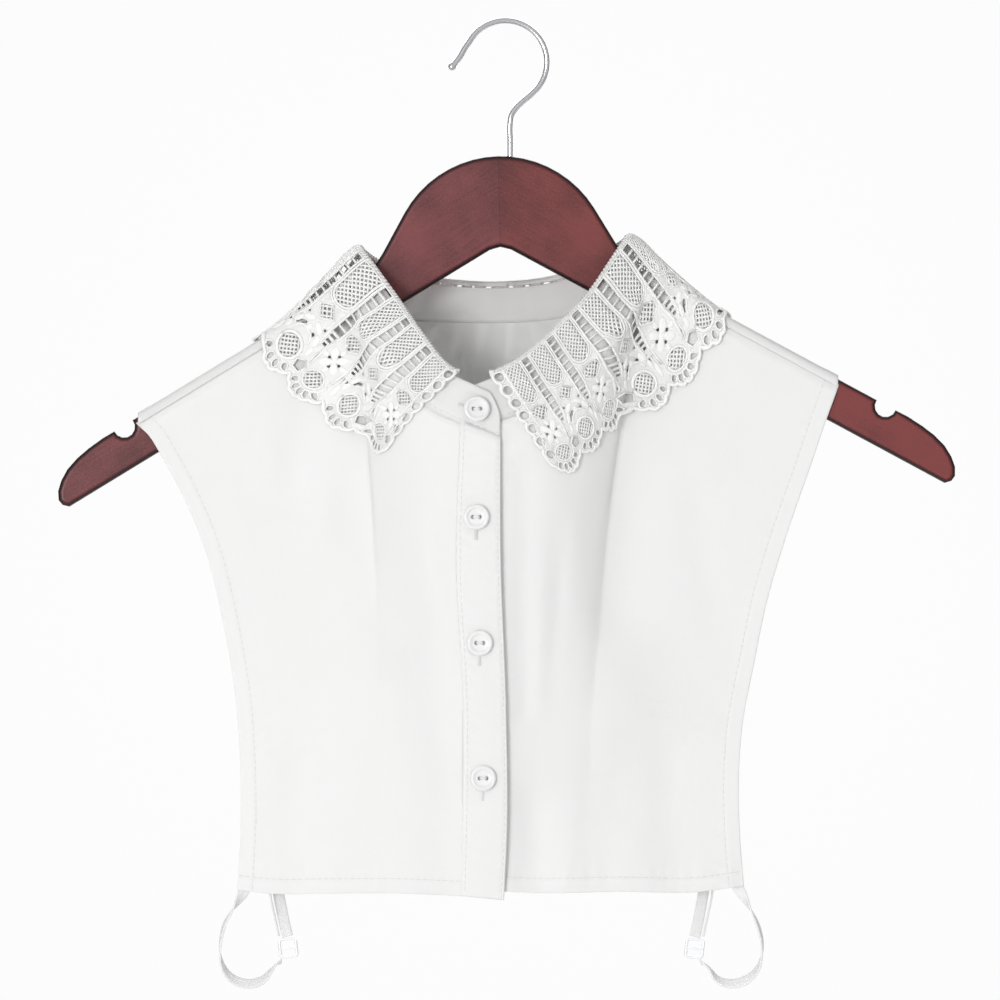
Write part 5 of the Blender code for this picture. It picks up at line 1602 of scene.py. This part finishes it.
def lathe(profile, sides):
    """Points and faces of a turned shape about Y; the profile's first and last points lie on the axis."""
    points = [(0.0, profile[0][1], 0.0)]
    for radius, y in profile[1:-1]:
        points += [(radius * across, y, radius * up) for across, up in circle(sides)]
    points.append((0.0, profile[-1][1], 0.0))
    rings = len(profile) - 2
    last, base = len(points) - 1, 1 + (rings - 1) * sides
    faces = [(0, 1 + side, 1 + (side + 1) % sides) for side in range(sides)]
    faces += flipped(tube_faces(rings, sides, 1))
    faces += [(last, base + (side + 1) % sides, base + side) for side in range(sides)]
    return points, faces


BUTTON_PROFILE = (
    (0.0, 0.0), (4.6, 0.0), (5.4, -0.12), (5.95, -0.42), (6.25, -0.85), (6.35, -1.25), (6.3, -1.6),
    (6.1, -1.95), (5.75, -2.2), (5.3, -2.3), (4.85, -2.26), (4.5, -2.08), (4.2, -1.82), (3.7, -1.68),
    (2.8, -1.62), (0.0, -1.6),
)


def cutting_bars(name, points, sides):
    """An object to cut with: round bars, each of two rings of points in millimetres."""
    faces = []
    for base in range(0, len(points), 2 * sides):
        faces += tube_faces(2, sides, base) + cap_faces(2, sides, base)
    mesh = bpy.data.meshes.new(name)
    mesh.from_pydata((np.array(points) * MM).tolist(), [], faces)
    return place_object(name, mesh)


def hole_cutter():
    """Two round bars that cut the thread holes of a button."""
    points = []
    rim = [(BUTTON_HOLE_RADIUS * across, BUTTON_HOLE_RADIUS * up) for across, up in circle(20)]
    for middle in (-BUTTON_HOLE_SPREAD, BUTTON_HOLE_SPREAD):
        for y in (1.0, -4.0):
            points += [(middle + x, y, z) for x, z in rim]
    return cutting_bars("button_hole_cutter", points, 20)


def on_front(tree, x, z):
    """The place of the cloth's front that shows at x and z of the front view."""
    return tree.ray_cast(Vector((x, -200.0, z)), Vector((0.0, 1.0, 0.0)))[0]


def make_buttons(tree, material, thread):
    """Four turned buttons with their thread; each sits a little proud of the cloth."""
    cutter = hole_cutter()
    points, faces = lathe(BUTTON_PROFILE, 64)
    for number, button in enumerate(BUTTONS, start=1):
        tip = Matrix.Rotation(math.radians(button.tip), 4, "X")
        turn = Matrix.Rotation(math.radians(button.turn), 4, "Z") @ tip
        proud = CLOTH_GAP + 0.2 + (abs(button.tip) + abs(button.turn)) * 0.09
        seat = on_front(tree, button.x, button.z) - Vector((0.0, proud, 0.0))
        mesh = bpy.data.meshes.new(f"button_{number}_shown")
        mesh.from_pydata((np.array(points) * MM).tolist(), [], faces)
        mesh.shade_smooth()
        mesh.materials.append(material)
        obj = place_object(f"button_{number}_shown", mesh)
        carve(obj, cutter).transform(Matrix.Translation(seat * MM) @ turn)
        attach(obj, "root")
        stands_for(obj, f"button_{number}")
        strands = Stitches()
        for drop in (-0.42, -0.14, 0.14, 0.42):
            spot = np.array([seat.x, seat.y, seat.z + drop])
            path = ((-1.9, -0.6), (-1.55, -1.5), (-0.8, -1.86), (0.8, -1.86), (1.55, -1.5), (1.9, -0.6))
            places = np.array([spot + np.array([x, y, 0.0]) for x, y in path])
            strands.tube(places, np.broadcast_to(np.array([0.0, 0.0, 1.0]), places.shape), 0.2)
        strands.build(f"button_{number}_thread", thread)
    bpy.data.objects.remove(cutter, do_unlink=True)


def satin_bar(work, start, end, tree):
    """A close row of thread stitches across a line on the cloth."""
    start, end = np.array(start, float), np.array(end, float)
    way = unit(end - start)
    across = np.array([-way[1], way[0]]) * SATIN_WIDE / 2
    for k in range(int(np.linalg.norm(end - start) / SATIN_STEP)):
        middle = start + way * (k + 0.5) * SATIN_STEP
        places = []
        for share, rise in ((-1.0, -0.1), (-0.5, 0.34), (0.5, 0.34), (1.0, -0.1)):
            x, z = middle + across * share
            places.append(np.array([x, on_front(tree, x, z).y - rise, z]))
        places = np.array(places)
        work.tube(places, np.broadcast_to(np.array([0.0, -1.0, 0.0]), places.shape), 0.22)


def make_buttonholes(tree, material):
    """What shows of the buttonholes: upright bars below three buttons, a level one beside the top one."""
    work = Stitches()
    for button in BUTTONS[1:]:
        satin_bar(work, (button.x, button.z - 5.4), (button.x - 0.2, button.z - 11.6), tree)
    top = BUTTONS[0]
    satin_bar(work, (top.x - 5.6, top.z + 1.4), (top.x - 9.4, top.z + 2.8), tree)
    obj = work.build("buttonhole_stitches", material)
    return obj


# Half of an elastic's section round its edge, from one side to the other; the other half mirrors it.
STRAP_FRONT = ((-2.75, 0.2), (-2.7, -0.3), (-2.4, -0.5), (-1.2, -0.5), (0.0, -0.5), (1.2, -0.5), (2.4, -0.5))
STRAP_SECTION = (*STRAP_FRONT, (2.7, -0.3), (2.75, 0.2), *((-wide, 0.5) for wide, _ in STRAP_FRONT[2:]))


def make_strap(name, table, material, steps):
    """A flat elastic strap swept along its points, turning as the table says."""
    curve = Curve([row[:3] for row in table])
    turns = Curve([(row.turn,) for row in table], curve.marks)
    points = []
    marks = []
    length = 0.0
    before = curve(0.0)
    for share in np.arange(steps + 1) / steps:
        middle = curve(share)
        length += float(np.linalg.norm(middle - before))
        before = middle
        along = unit(curve(min(1.0, share + 0.01)) - curve(max(0.0, share - 0.01)))
        beside = unit(np.cross(along, np.array([0.0, 1.0, 0.0])))
        front = np.cross(beside, along)
        angle = math.radians(float(turns(share)[0]))
        broad = beside * math.cos(angle) + front * math.sin(angle)
        face = np.cross(broad, along)
        points += [middle + broad * wide + face * thick for wide, thick in STRAP_SECTION]
        marks += [(length, wide, thick) for wide, thick in STRAP_SECTION]
    rings, sides = steps + 1, len(STRAP_SECTION)
    faces = cap_faces(rings, sides) + tube_faces(rings, sides)
    return stands_for(make_mesh(f"{name}_shown", points, faces, marks, material, sharp=60), name)


def frame_path(half_w, half_h, corner):
    """Points round a rectangle with rounded corners, in the X-Z plane."""
    points = []
    for cx, cz, start in ((1, 1, 0), (-1, 1, 90), (-1, -1, 180), (1, -1, 270)):
        for step in range(7):
            angle = math.radians(start + 90 * step / 6)
            x = cx * (half_w - corner) + corner * math.cos(angle)
            z = cz * (half_h - corner) + corner * math.sin(angle)
            points.append((x, z))
    return points


def make_slider(name, place, material):
    """A moulded strap slider: a rounded frame with a middle bar."""
    points = []
    faces = []
    sides = 10
    half_w, half_h = (SLIDER_WIDE - SLIDER_BAR) / 2, (SLIDER_HIGH - SLIDER_BAR) / 2
    bar = [(-half_w, 0.0), (0.0, 0.0), (half_w, 0.0)]
    for path, closed in ((frame_path(half_w, half_h, 1.5), True), (bar, False)):
        path = np.array(path)
        faces += tube_faces(len(path), sides, len(points), closed)
        for (x, z), way in zip(path, ways_along(path, closed)):
            for across, up in circle(sides):
                out = SLIDER_BAR / 2 * across
                points.append((x + way[1] * out, SLIDER_THICK / 2 * up, z - way[0] * out))
    lean = Matrix.Translation(Vector(place[:3])) @ Matrix.Rotation(math.radians(-place.lean), 4, "Y")
    moved = [tuple(lean @ Vector(p)) for p in points]
    return stands_for(make_mesh(f"{name}_shown", moved, faces, None, material), name)


def mark_wood(mesh, side):
    """Gives each point of an arm its place in the hanger's own outline, for the grain to follow."""
    back = Matrix.Rotation(-WOOD_ROLL, 2)
    layer = mesh.attributes["thread"]
    for vertex, entry in zip(mesh.vertices, layer.data):
        place = back @ (Vector((vertex.co.x, vertex.co.z)) / MM - Vector(WOOD_APEX))
        entry.vector = (place.x * side, vertex.co.y / MM, place.y)


def make_hanger(materials):
    """The hanger's two arms, joined along the middle, each with rounded edges."""
    right = [Vector(p) for p in hanger_outline()]
    half = WOOD_THICK / 2
    steps = 7
    section = [(half, WOOD_EDGE + 0.5)]
    for step in range(steps + 1):
        angle = math.pi / 2 * step / steps
        section.append((half - WOOD_EDGE * (1 - math.cos(angle)), WOOD_EDGE * (1 - math.sin(angle))))
    section += [(-y, inset) for y, inset in reversed(section)]
    inward = []
    for k, point in enumerate(right):
        before = right[k - 1] if k else Vector((-right[1].x, right[1].y))
        after = right[k + 1] if k + 1 < len(right) else Vector((-right[-2].x, right[-2].y))
        one, two = (point - before).normalized(), (after - point).normalized()
        normal_one, normal_two = Vector((one.y, -one.x)), Vector((two.y, -two.x))
        middle = (normal_one + normal_two).normalized()
        inward.append(middle / max(0.55, middle.dot(normal_one)))
    count, rings = len(right), len(section)
    faces = [tuple(range(count)), tuple(reversed(range((rings - 1) * count, rings * count)))]
    firsts = [row * count for row in range(rings)]
    for first in firsts[:-1]:
        faces += [(a, a + count, a + count + 1, a + 1) for a in range(first, first + count - 1)]
    faces.append((*firsts, *(first + count - 1 for first in reversed(firsts))))
    for name, side, material in zip(("hanger_left_arm", "hanger_right_arm"), (-1, 1), materials):
        points = []
        marks = []
        for y, inset in section:
            for point, way in zip(right, inward):
                moved = point + way * inset
                moved.x = max(moved.x, 0.0) if point.x > 0.001 else 0.0
                place = hanger_place(Vector((moved.x * side, moved.y)))
                points.append((place.x, y, place.y))
                marks.append((moved.x, y, moved.y))
        turned = faces if side < 0 else [tuple(reversed(face)) for face in faces]
        obj = make_mesh(name, points, turned, marks, material)
        cutter = stem_cutter()
        solid = carve(obj, cutter)
        bpy.data.objects.remove(cutter, do_unlink=True)
        mark_wood(solid, side)
        solid.set_sharp_from_angle(angle=math.radians(40))
        stands_for(obj, "hanger_body")


def stem_cutter():
    """A round bar that cuts the hole for the hook's stem."""
    low = WOOD_APEX[1] + DOME_RADIUS + DOME_DROP - STEM_DEPTH - 1.0
    radius = WIRE / 2 + HOLE_CLEARANCE
    points = [(STEM_X + radius * across, radius * up, z) for z in (low, -50.0) for across, up in circle(32)]
    return cutting_bars("stem_cutter", points, 32)


def make_hook(material):
    """The bent wire hook with its ball tip."""
    centre_z = -HOOK_RADIUS + WIRE / 2
    stem_low = WOOD_APEX[1] + DOME_RADIUS + DOME_DROP - STEM_DEPTH
    bend = [(STEM_X, stem_low), (STEM_X, -58.0), (STEM_X, -49.0), (2.9, -45.5), (5.0, -42.2), (8.4, -38.8)]
    for step in range(13):
        angle = math.radians(-51.0 + 203.0 * step / 12)
        bend.append((HOOK_RADIUS * math.cos(angle), centre_z + HOOK_RADIUS * math.sin(angle)))
    bend += [(-20.4, -12.8), (-22.6, -16.8), (-24.4, -19.0)]
    curve = Curve([(x, 0.0, z) for x, z in bend])
    places = [curve(share) for share in np.linspace(0.0, 1.0, 150)]
    radii = [WIRE / 2] * len(places)
    ball, centre = 2.0, np.array([-26.4, 0.0, -21.3])
    way = unit(centre - np.array([-24.4, 0.0, -19.0]))
    for share in (-0.7, -0.55, -0.35, -0.15, 0.1, 0.35, 0.55, 0.75, 0.88, 0.96, 0.995):
        places.append(centre + way * ball * share)
        radii.append(ball * math.sqrt(max(0.002, 1.0 - share**2)))
    places = np.array(places)
    sides = 24
    points = []
    for place, way, radius in zip(places, ways_along(places, False), radii):
        beside = np.array([way[2], 0.0, -way[0]])
        for across, up in circle(sides):
            points.append(place + radius * (beside * across + np.array([0.0, up, 0.0])))
    faces = flipped(cap_faces(len(places), sides) + tube_faces(len(places), sides))
    stands_for(make_mesh("hook_wire", points, faces, None, material, sharp=50), "hanger_hook")


# Materials. The lengths of what repeats in them are in millimetres.
WEAVE = 0.42
SATIN_PITCH = 0.5
CORD_TWIST = 0.62
RIB_PITCH = 0.75
RIB_CORD = 1.1
GLUE_LINE = 0.22


def fill_ramp(ramp, stops):
    """Sets the places and colours of a ramp."""
    elements = ramp.color_ramp.elements
    while len(elements) < len(stops):
        elements.new(0.5)
    for element, (place, colour) in zip(elements, stops):
        element.position = place
        element.color = (*colour, 1.0)


class Nodes:
    """A material's node tree, with short ways to add and join nodes."""

    def __init__(self, name, colour, roughness, **settings):
        self.material = bpy.data.materials.new(name)
        self.material.use_nodes = True
        self.tree = self.material.node_tree
        self.shader = next(node for node in self.tree.nodes if node.type == "BSDF_PRINCIPLED")
        self.shader.inputs["Base Color"].default_value = (*colour, 1.0)
        self.shader.inputs["Roughness"].default_value = roughness
        for key, value in settings.items():
            self.shader.inputs[key.replace("_", " ")].default_value = value

    def add(self, kind, **inputs):
        """A new node, with its inputs joined or set."""
        node = self.tree.nodes.new(kind)
        for key, value in inputs.items():
            if key in node.inputs:
                socket = node.inputs[key]
                if hasattr(value, "is_output"):
                    self.tree.links.new(value, socket)
                else:
                    socket.default_value = value
            else:
                setattr(node, key, value)
        return node

    def maths(self, operation, first, second=None):
        """The result of a sum or a function."""
        node = self.tree.nodes.new("ShaderNodeMath")
        node.operation = operation
        for socket, value in zip(node.inputs, (first, second)):
            if hasattr(value, "is_output"):
                self.tree.links.new(value, socket)
            elif value is not None:
                socket.default_value = value
        return node.outputs[0]

    def waves(self, part, length):
        """A wave of so many millimetres."""
        return self.maths("SINE", self.maths("MULTIPLY", part, 2 * math.pi / length))

    def blend(self, first, first_share, second, second_share):
        """The sum of two values, each taken by its share."""
        first = self.maths("MULTIPLY", first, first_share)
        return self.maths("ADD", first, self.maths("MULTIPLY", second, second_share))

    def thread(self):
        """The vector that each point carries, and its three parts."""
        attribute = self.add("ShaderNodeAttribute", attribute_name="thread")
        parts = self.add("ShaderNodeSeparateXYZ", Vector=attribute.outputs["Vector"])
        return attribute.outputs["Vector"], parts.outputs

    def bump(self, height, distance, strength=1.0):
        """Fine relief; the distance is in metres."""
        node = self.add("ShaderNodeBump", Height=height, Strength=strength, Distance=distance)
        self.tree.links.new(node.outputs["Normal"], self.shader.inputs["Normal"])

    def through(self, colour, share):
        """Lets a share of the light behind a thin cloth come through it."""
        output = next(node for node in self.tree.nodes if node.type == "OUTPUT_MATERIAL")
        thin = self.add("ShaderNodeBsdfTranslucent", Color=(*colour, 1.0))
        both = self.add("ShaderNodeMixShader", Fac=share)
        self.tree.links.new(self.shader.outputs[0], both.inputs[1])
        self.tree.links.new(thin.outputs[0], both.inputs[2])
        self.tree.links.new(both.outputs[0], output.inputs["Surface"])

    def colour(self, factor, stops):
        """Colours the surface by a value from 0 to 1."""
        ramp = self.add("ShaderNodeValToRGB", Fac=factor)
        fill_ramp(ramp, stops)
        self.tree.links.new(ramp.outputs["Color"], self.shader.inputs["Base Color"])


def cloth_material(name, shade, share):
    """Fine white plain weave, with threads that run across and down the panel."""
    work = Nodes(name, (shade, shade, shade * 0.995), 0.86, Sheen_Weight=0.12, Sheen_Roughness=0.5)
    vector, parts = work.thread()
    weave = work.maths("MULTIPLY", work.waves(parts[0], WEAVE), work.waves(parts[1], WEAVE))
    slub = work.add("ShaderNodeTexNoise", Vector=vector, Scale=0.9, Detail=4.0, Roughness=0.6)
    work.bump(work.blend(weave, 0.35, slub.outputs["Fac"], 1.6), 0.00008, 0.8)
    work.through((shade, shade, shade), share)
    return work.material


def lace_ground_material():
    """Close satin stitches that fill the lace's ground, seen as fine slanting threads."""
    work = Nodes("lace_ground", (0.9, 0.9, 0.89), 0.8, Sheen_Weight=0.15)
    vector, parts = work.thread()
    slant = work.maths("ADD", parts[0], work.maths("MULTIPLY", parts[1], 0.55))
    ridges = work.waves(slant, SATIN_PITCH)
    cloud = work.add("ShaderNodeTexNoise", Vector=vector, Scale=0.7, Detail=3.0)
    work.bump(work.blend(ridges, 0.5, cloud.outputs["Fac"], 1.4), 0.00012, 0.9)
    work.through((0.9, 0.9, 0.89), 0.1)
    return work.material


def lace_cord_material():
    """Twisted and whipped cord, with the turns of thread running round it."""
    work = Nodes("lace_cord", (0.95, 0.95, 0.94), 0.72, Sheen_Weight=0.2)
    _, parts = work.thread()
    angle = work.maths("ARCTAN2", parts[2], parts[1])
    along = work.maths("MULTIPLY", parts[0], 2 * math.pi / CORD_TWIST)
    work.bump(work.maths("SINE", work.maths("ADD", along, angle)), 0.00007, 0.8)
    work.through((0.93, 0.93, 0.92), 0.08)
    return work.material


def thread_material():
    """White sewing thread."""
    return Nodes("sewing_thread", (0.71, 0.71, 0.705), 0.6, Sheen_Weight=0.2).material


def elastic_material():
    """White plush elastic with fine ribs across it."""
    work = Nodes("ribbed_elastic", (0.78, 0.78, 0.78), 0.8, Sheen_Weight=0.2)
    _, parts = work.thread()
    ribs, cords = work.waves(parts[0], RIB_PITCH), work.waves(parts[1], RIB_CORD)
    work.bump(work.maths("ADD", ribs, work.maths("MULTIPLY", cords, 0.5)), 0.00006, 0.7)
    return work.material


def wood_material(name, dark, light, seed, paler):
    """Stained and lacquered wood: fine grain along the arm, a glue line at the middle, and painted shade that
    darkens the rounded edges.
    """
    work = Nodes(name, dark, 0.42, Specular_IOR_Level=0.28, Coat_Weight=0.12, Coat_Roughness=0.22)
    vector, parts = work.thread()
    turned = work.add("ShaderNodeMapping", Vector=vector, vector_type="POINT")
    turned.inputs["Location"].default_value = (seed, 0.0, seed)
    turned.inputs["Rotation"].default_value = (0.0, -ARM_ANGLE, 0.0)
    long_grain = work.add("ShaderNodeVectorMath", operation="MULTIPLY")
    work.tree.links.new(turned.outputs["Vector"], long_grain.inputs[0])
    long_grain.inputs[1].default_value = (0.05, 0.7, 0.9)
    fine = work.add("ShaderNodeTexNoise", Vector=long_grain.outputs[0], Scale=1.0, Detail=7.0, Roughness=0.68)
    pores = work.add("ShaderNodeTexNoise", Vector=vector, Scale=1.3, Detail=5.0, Roughness=0.75)
    broad = work.add("ShaderNodeTexNoise", Vector=vector, Scale=0.035, Detail=2.0)
    # Painted shade: the colour darkens on the rounded edges as their normal turns away from the broad faces.
    shape = work.add("ShaderNodeNewGeometry")
    facing = work.add("ShaderNodeSeparateXYZ", Vector=shape.outputs["Normal"])
    flat = work.maths("POWER", work.maths("ABSOLUTE", facing.outputs[1]), 5.0)
    mixed = work.blend(fine.outputs["Fac"], 0.2, pores.outputs["Fac"], 0.4)
    for part, share in ((broad.outputs["Fac"], 0.4), (parts[0], paler)):
        mixed = work.maths("ADD", mixed, work.maths("MULTIPLY", part, share))
    joint = work.maths("SUBTRACT", 1.0, work.maths("LESS_THAN", parts[0], GLUE_LINE))
    joint = work.maths("ADD", 0.9, work.maths("MULTIPLY", joint, 0.1))
    shade = work.maths("MULTIPLY", work.maths("MULTIPLY", mixed, flat), joint)
    # The ramp's near-black lowest stop is reached on the rounded edges, where the painted shade is deepest.
    work.colour(shade, ((0.1, tuple(c * 0.08 for c in dark)), (0.42, dark), (0.6, light)))
    work.bump(work.maths("ADD", fine.outputs["Fac"], pores.outputs["Fac"]), 0.00005, 0.2)
    return work.material


def flat_material(name, colour, roughness, **settings):
    """A plain finish with a slight unevenness."""
    work = Nodes(name, colour, roughness, **settings)
    place = work.add("ShaderNodeTexCoord")
    cloud = work.add("ShaderNodeTexNoise", Vector=place.outputs["Object"], Scale=900.0, Detail=2.0)
    work.bump(cloud.outputs["Fac"], 0.00003, 0.4)
    return work.material


class Dart(NamedTuple):
    """A bust dart, from the side seam towards its point, in the front view."""

    from_x: float
    from_z: float
    to_x: float
    to_z: float


DARTS = (Dart(116.0, -352.6, 60.0, -336.0), Dart(-131.0, -366.0, -78.0, -342.0))


class Cut(NamedTuple):
    """The flat size a piece of cloth was cut to, in metres and square metres."""

    width: float
    length: float
    area: float


def declare(obj, node):
    """Hides the node of the part that a cloth piece stands for."""
    stands_for(obj, node)


def fine_shade(name, colour, roughness):
    """A pale plain surface for the studio."""
    return Nodes(name, colour, roughness).material


# Shares of the coarse panels that the lace lies on.
PLAN_ACROSS = np.linspace(0.0, 1.0, 25)
PLAN_DOWN = np.linspace(0.0, 1.0, 37)
PLAN_BACK = np.array(spaced((LEFT_SHARE, RIGHT_SHARE, 1.0), (14, 18, 14)))


def make_garment():
    """The blouse, its lace, and what is sewn to it."""
    # The back's and the stand's copies of the shirting are painted paler than the fronts', painted light that
    # brightens the shaded inside of the neck; they also let more light through.
    shirting = cloth_material("white_shirting", 0.86, 0.12)
    back_shirting_painted_paler = cloth_material("white_shirting_back", 0.9, 0.3)
    stand_shirting_painted_paler = cloth_material("white_shirting_stand", 0.89, 0.25)
    thread = thread_material()
    seams = {key: Stitches() for key in ("left_front", "right_front", "back", "placket", "stand")}
    left = shown_front(True, seams["left_front"], shirting)
    right = shown_front(False, seams["right_front"], shirting)
    back = shown_back(seams["back"], back_shirting_painted_paler)
    placket = shown_placket(seams["placket"], shirting)
    stand = shown_stand(seams["stand"], stand_shirting_painted_paler)
    for key, work in seams.items():
        work.build(f"{key}_stitches", thread)

    left_grid = front_grid(True, PLAN_ACROSS, PLAN_DOWN, FRONT_CREASES)
    right_grid = front_grid(False, PLAN_ACROSS, PLAN_DOWN, FRONT_CREASES)
    fronts = (left_grid, right_grid, placket_grid(9, 40))
    front_layers = [(grid, grid_quads(grid, forward)) for grid in fronts]
    ring = np.linspace(0.0, len(NECK_RING) - 1.0, 109)
    stand_plan = stand_grid(ring, 6)
    front_layers.append((stand_plan, grid_quads(stand_plan, outward)))
    back_plan = back_grid(SHOULDER_SECTION, PLAN_BACK, PLAN_DOWN, BACK_CREASES)
    keep = shoulder_only(PLAN_BACK, WRAP_LAST)
    tree = tree_of([*front_layers, (back_plan, grid_quads(back_plan, outward, keep))])
    leaf = LeafMap(leaf_grid(tree))
    ground_material, cord_material = lace_ground_material(), lace_cord_material()
    halves = []
    stretches = (("left", 0.0, BACK_SPLIT - SPLIT_HALF), ("right", BACK_SPLIT + SPLIT_HALF, REPEATS))
    for side, first, last in stretches:
        halves.append(make_lace(side, first, last, leaf, ground_material, cord_material))
    front_tree = tree_of(front_layers[2:])
    buttonholes = make_buttonholes(front_tree, thread)
    make_buttons(front_tree, flat_material("button_shell", (0.74, 0.74, 0.74), 0.4, Coat_Weight=0.12), thread)

    elastic = elastic_material()
    for name, table, steps in (
        ("strap_loop_left", LEFT_LOOP, 220),
        ("strap_loop_right", RIGHT_LOOP, 220),
        ("strap_back_left", LEFT_STRAP, 90),
        ("strap_back_right", RIGHT_STRAP, 90),
        ("strap_return_left", LEFT_RETURN, 90),
        ("strap_return_right", RIGHT_RETURN, 90),
    ):
        make_strap(name, table, elastic, steps)
    plastic = flat_material("clear_plastic", (0.85, 0.86, 0.88), 0.16, Coat_Weight=0.4)
    for name, place in SLIDERS.items():
        make_slider(name, place, plastic)

    behind = ("strap_back_left", "strap_back_right", "slider_left", "slider_right")
    behind += ("strap_return_left", "strap_return_right")
    declare(left, "front_left")
    declare(right, "front_right")
    declare(back, "back")
    declare(placket, "placket")
    declare(stand, "collar_stand")
    for side, (ground, cords) in zip(("left", "right"), halves):
        declare(ground, f"lace_collar_{side}")


# The studio's brightness from the camera's side, at 0, to behind the object, at 1.
STUDIO = ((0.0, 0.79), (0.3, 0.75), (0.5, 0.45), (0.62, 0.14), (0.99, 0.12), (0.9965, 0.985))
# Name, place, size in metres and power in watts.
LAMPS = (
    ("key_light", (-2.0, -5.1, -0.3), 1.6, 134.0),
    ("back_light", (0.0, 2.4, 1.0), 3.0, 96.0),
)


def make_stage():
    """A pale floor, the soft studio light and the camera."""
    mesh = bpy.data.meshes.new("floor")
    mesh.from_pydata([(-4, -6, -1.2), (4, -6, -1.2), (4, 2, -1.2), (-4, 2, -1.2)], [], [(0, 1, 2, 3)])
    mesh.materials.append(fine_shade("pale_floor", (0.93, 0.93, 0.93), 0.9))
    floor = bpy.data.objects.new("floor", mesh)
    bpy.context.scene.collection.objects.link(floor)

    world = bpy.data.worlds.new("studio")
    world.use_nodes = True
    bpy.context.scene.world = world
    tree = world.node_tree
    tree.nodes.clear()
    place = tree.nodes.new("ShaderNodeTexCoord")
    parts = tree.nodes.new("ShaderNodeSeparateXYZ")
    ramp = tree.nodes.new("ShaderNodeValToRGB")
    light = tree.nodes.new("ShaderNodeBackground")
    out = tree.nodes.new("ShaderNodeOutputWorld")
    half = tree.nodes.new("ShaderNodeMath")
    half.operation = "MULTIPLY_ADD"
    half.inputs[1].default_value = 0.5
    half.inputs[2].default_value = 0.5
    tree.links.new(place.outputs["Generated"], parts.inputs[0])
    tree.links.new(parts.outputs[1], half.inputs[0])
    tree.links.new(half.outputs[0], ramp.inputs["Fac"])
    tree.links.new(ramp.outputs["Color"], light.inputs["Color"])
    tree.links.new(light.outputs["Background"], out.inputs["Surface"])
    fill_ramp(ramp, [(mark, (shade, shade, shade)) for mark, shade in STUDIO])
    light.inputs["Strength"].default_value = 1.0

    for name, spot, size, power in LAMPS:
        data = bpy.data.lights.new(name, "AREA")
        data.size = size
        data.energy = power
        lamp = bpy.data.objects.new(name, data)
        bpy.context.scene.collection.objects.link(lamp)
        lamp.location = spot
        aim = Vector((0.0, 0.0, -0.24)) - Vector(spot)
        lamp.rotation_euler = aim.to_track_quat("-Z", "Y").to_euler()

    data = bpy.data.cameras.new("camera")
    data.lens = 400.0
    data.sensor_width = 36.0
    camera = bpy.data.objects.new("camera", data)
    bpy.context.scene.collection.objects.link(camera)
    camera.location = (-0.0027, -5.5, -0.2359)
    camera.rotation_euler = (math.radians(90.0), 0.0, 0.0)
    data.clip_end = 50.0
    bpy.context.scene.camera = camera
    bpy.context.scene.view_settings.view_transform = "Standard"


make_stage()
make_garment()
left_wood = wood_material("stained_wood_left", (0.085, 0.016, 0.018), (0.18, 0.04, 0.044), 40.0, -0.0001)
right_wood = wood_material("stained_wood_right", (0.08, 0.012, 0.012), (0.175, 0.031, 0.031), 90.0, 0.0005)
make_hanger((left_wood, right_wood))
make_hook(flat_material("bright_steel", (0.6, 0.6, 0.62), 0.14, Metallic=1.0))
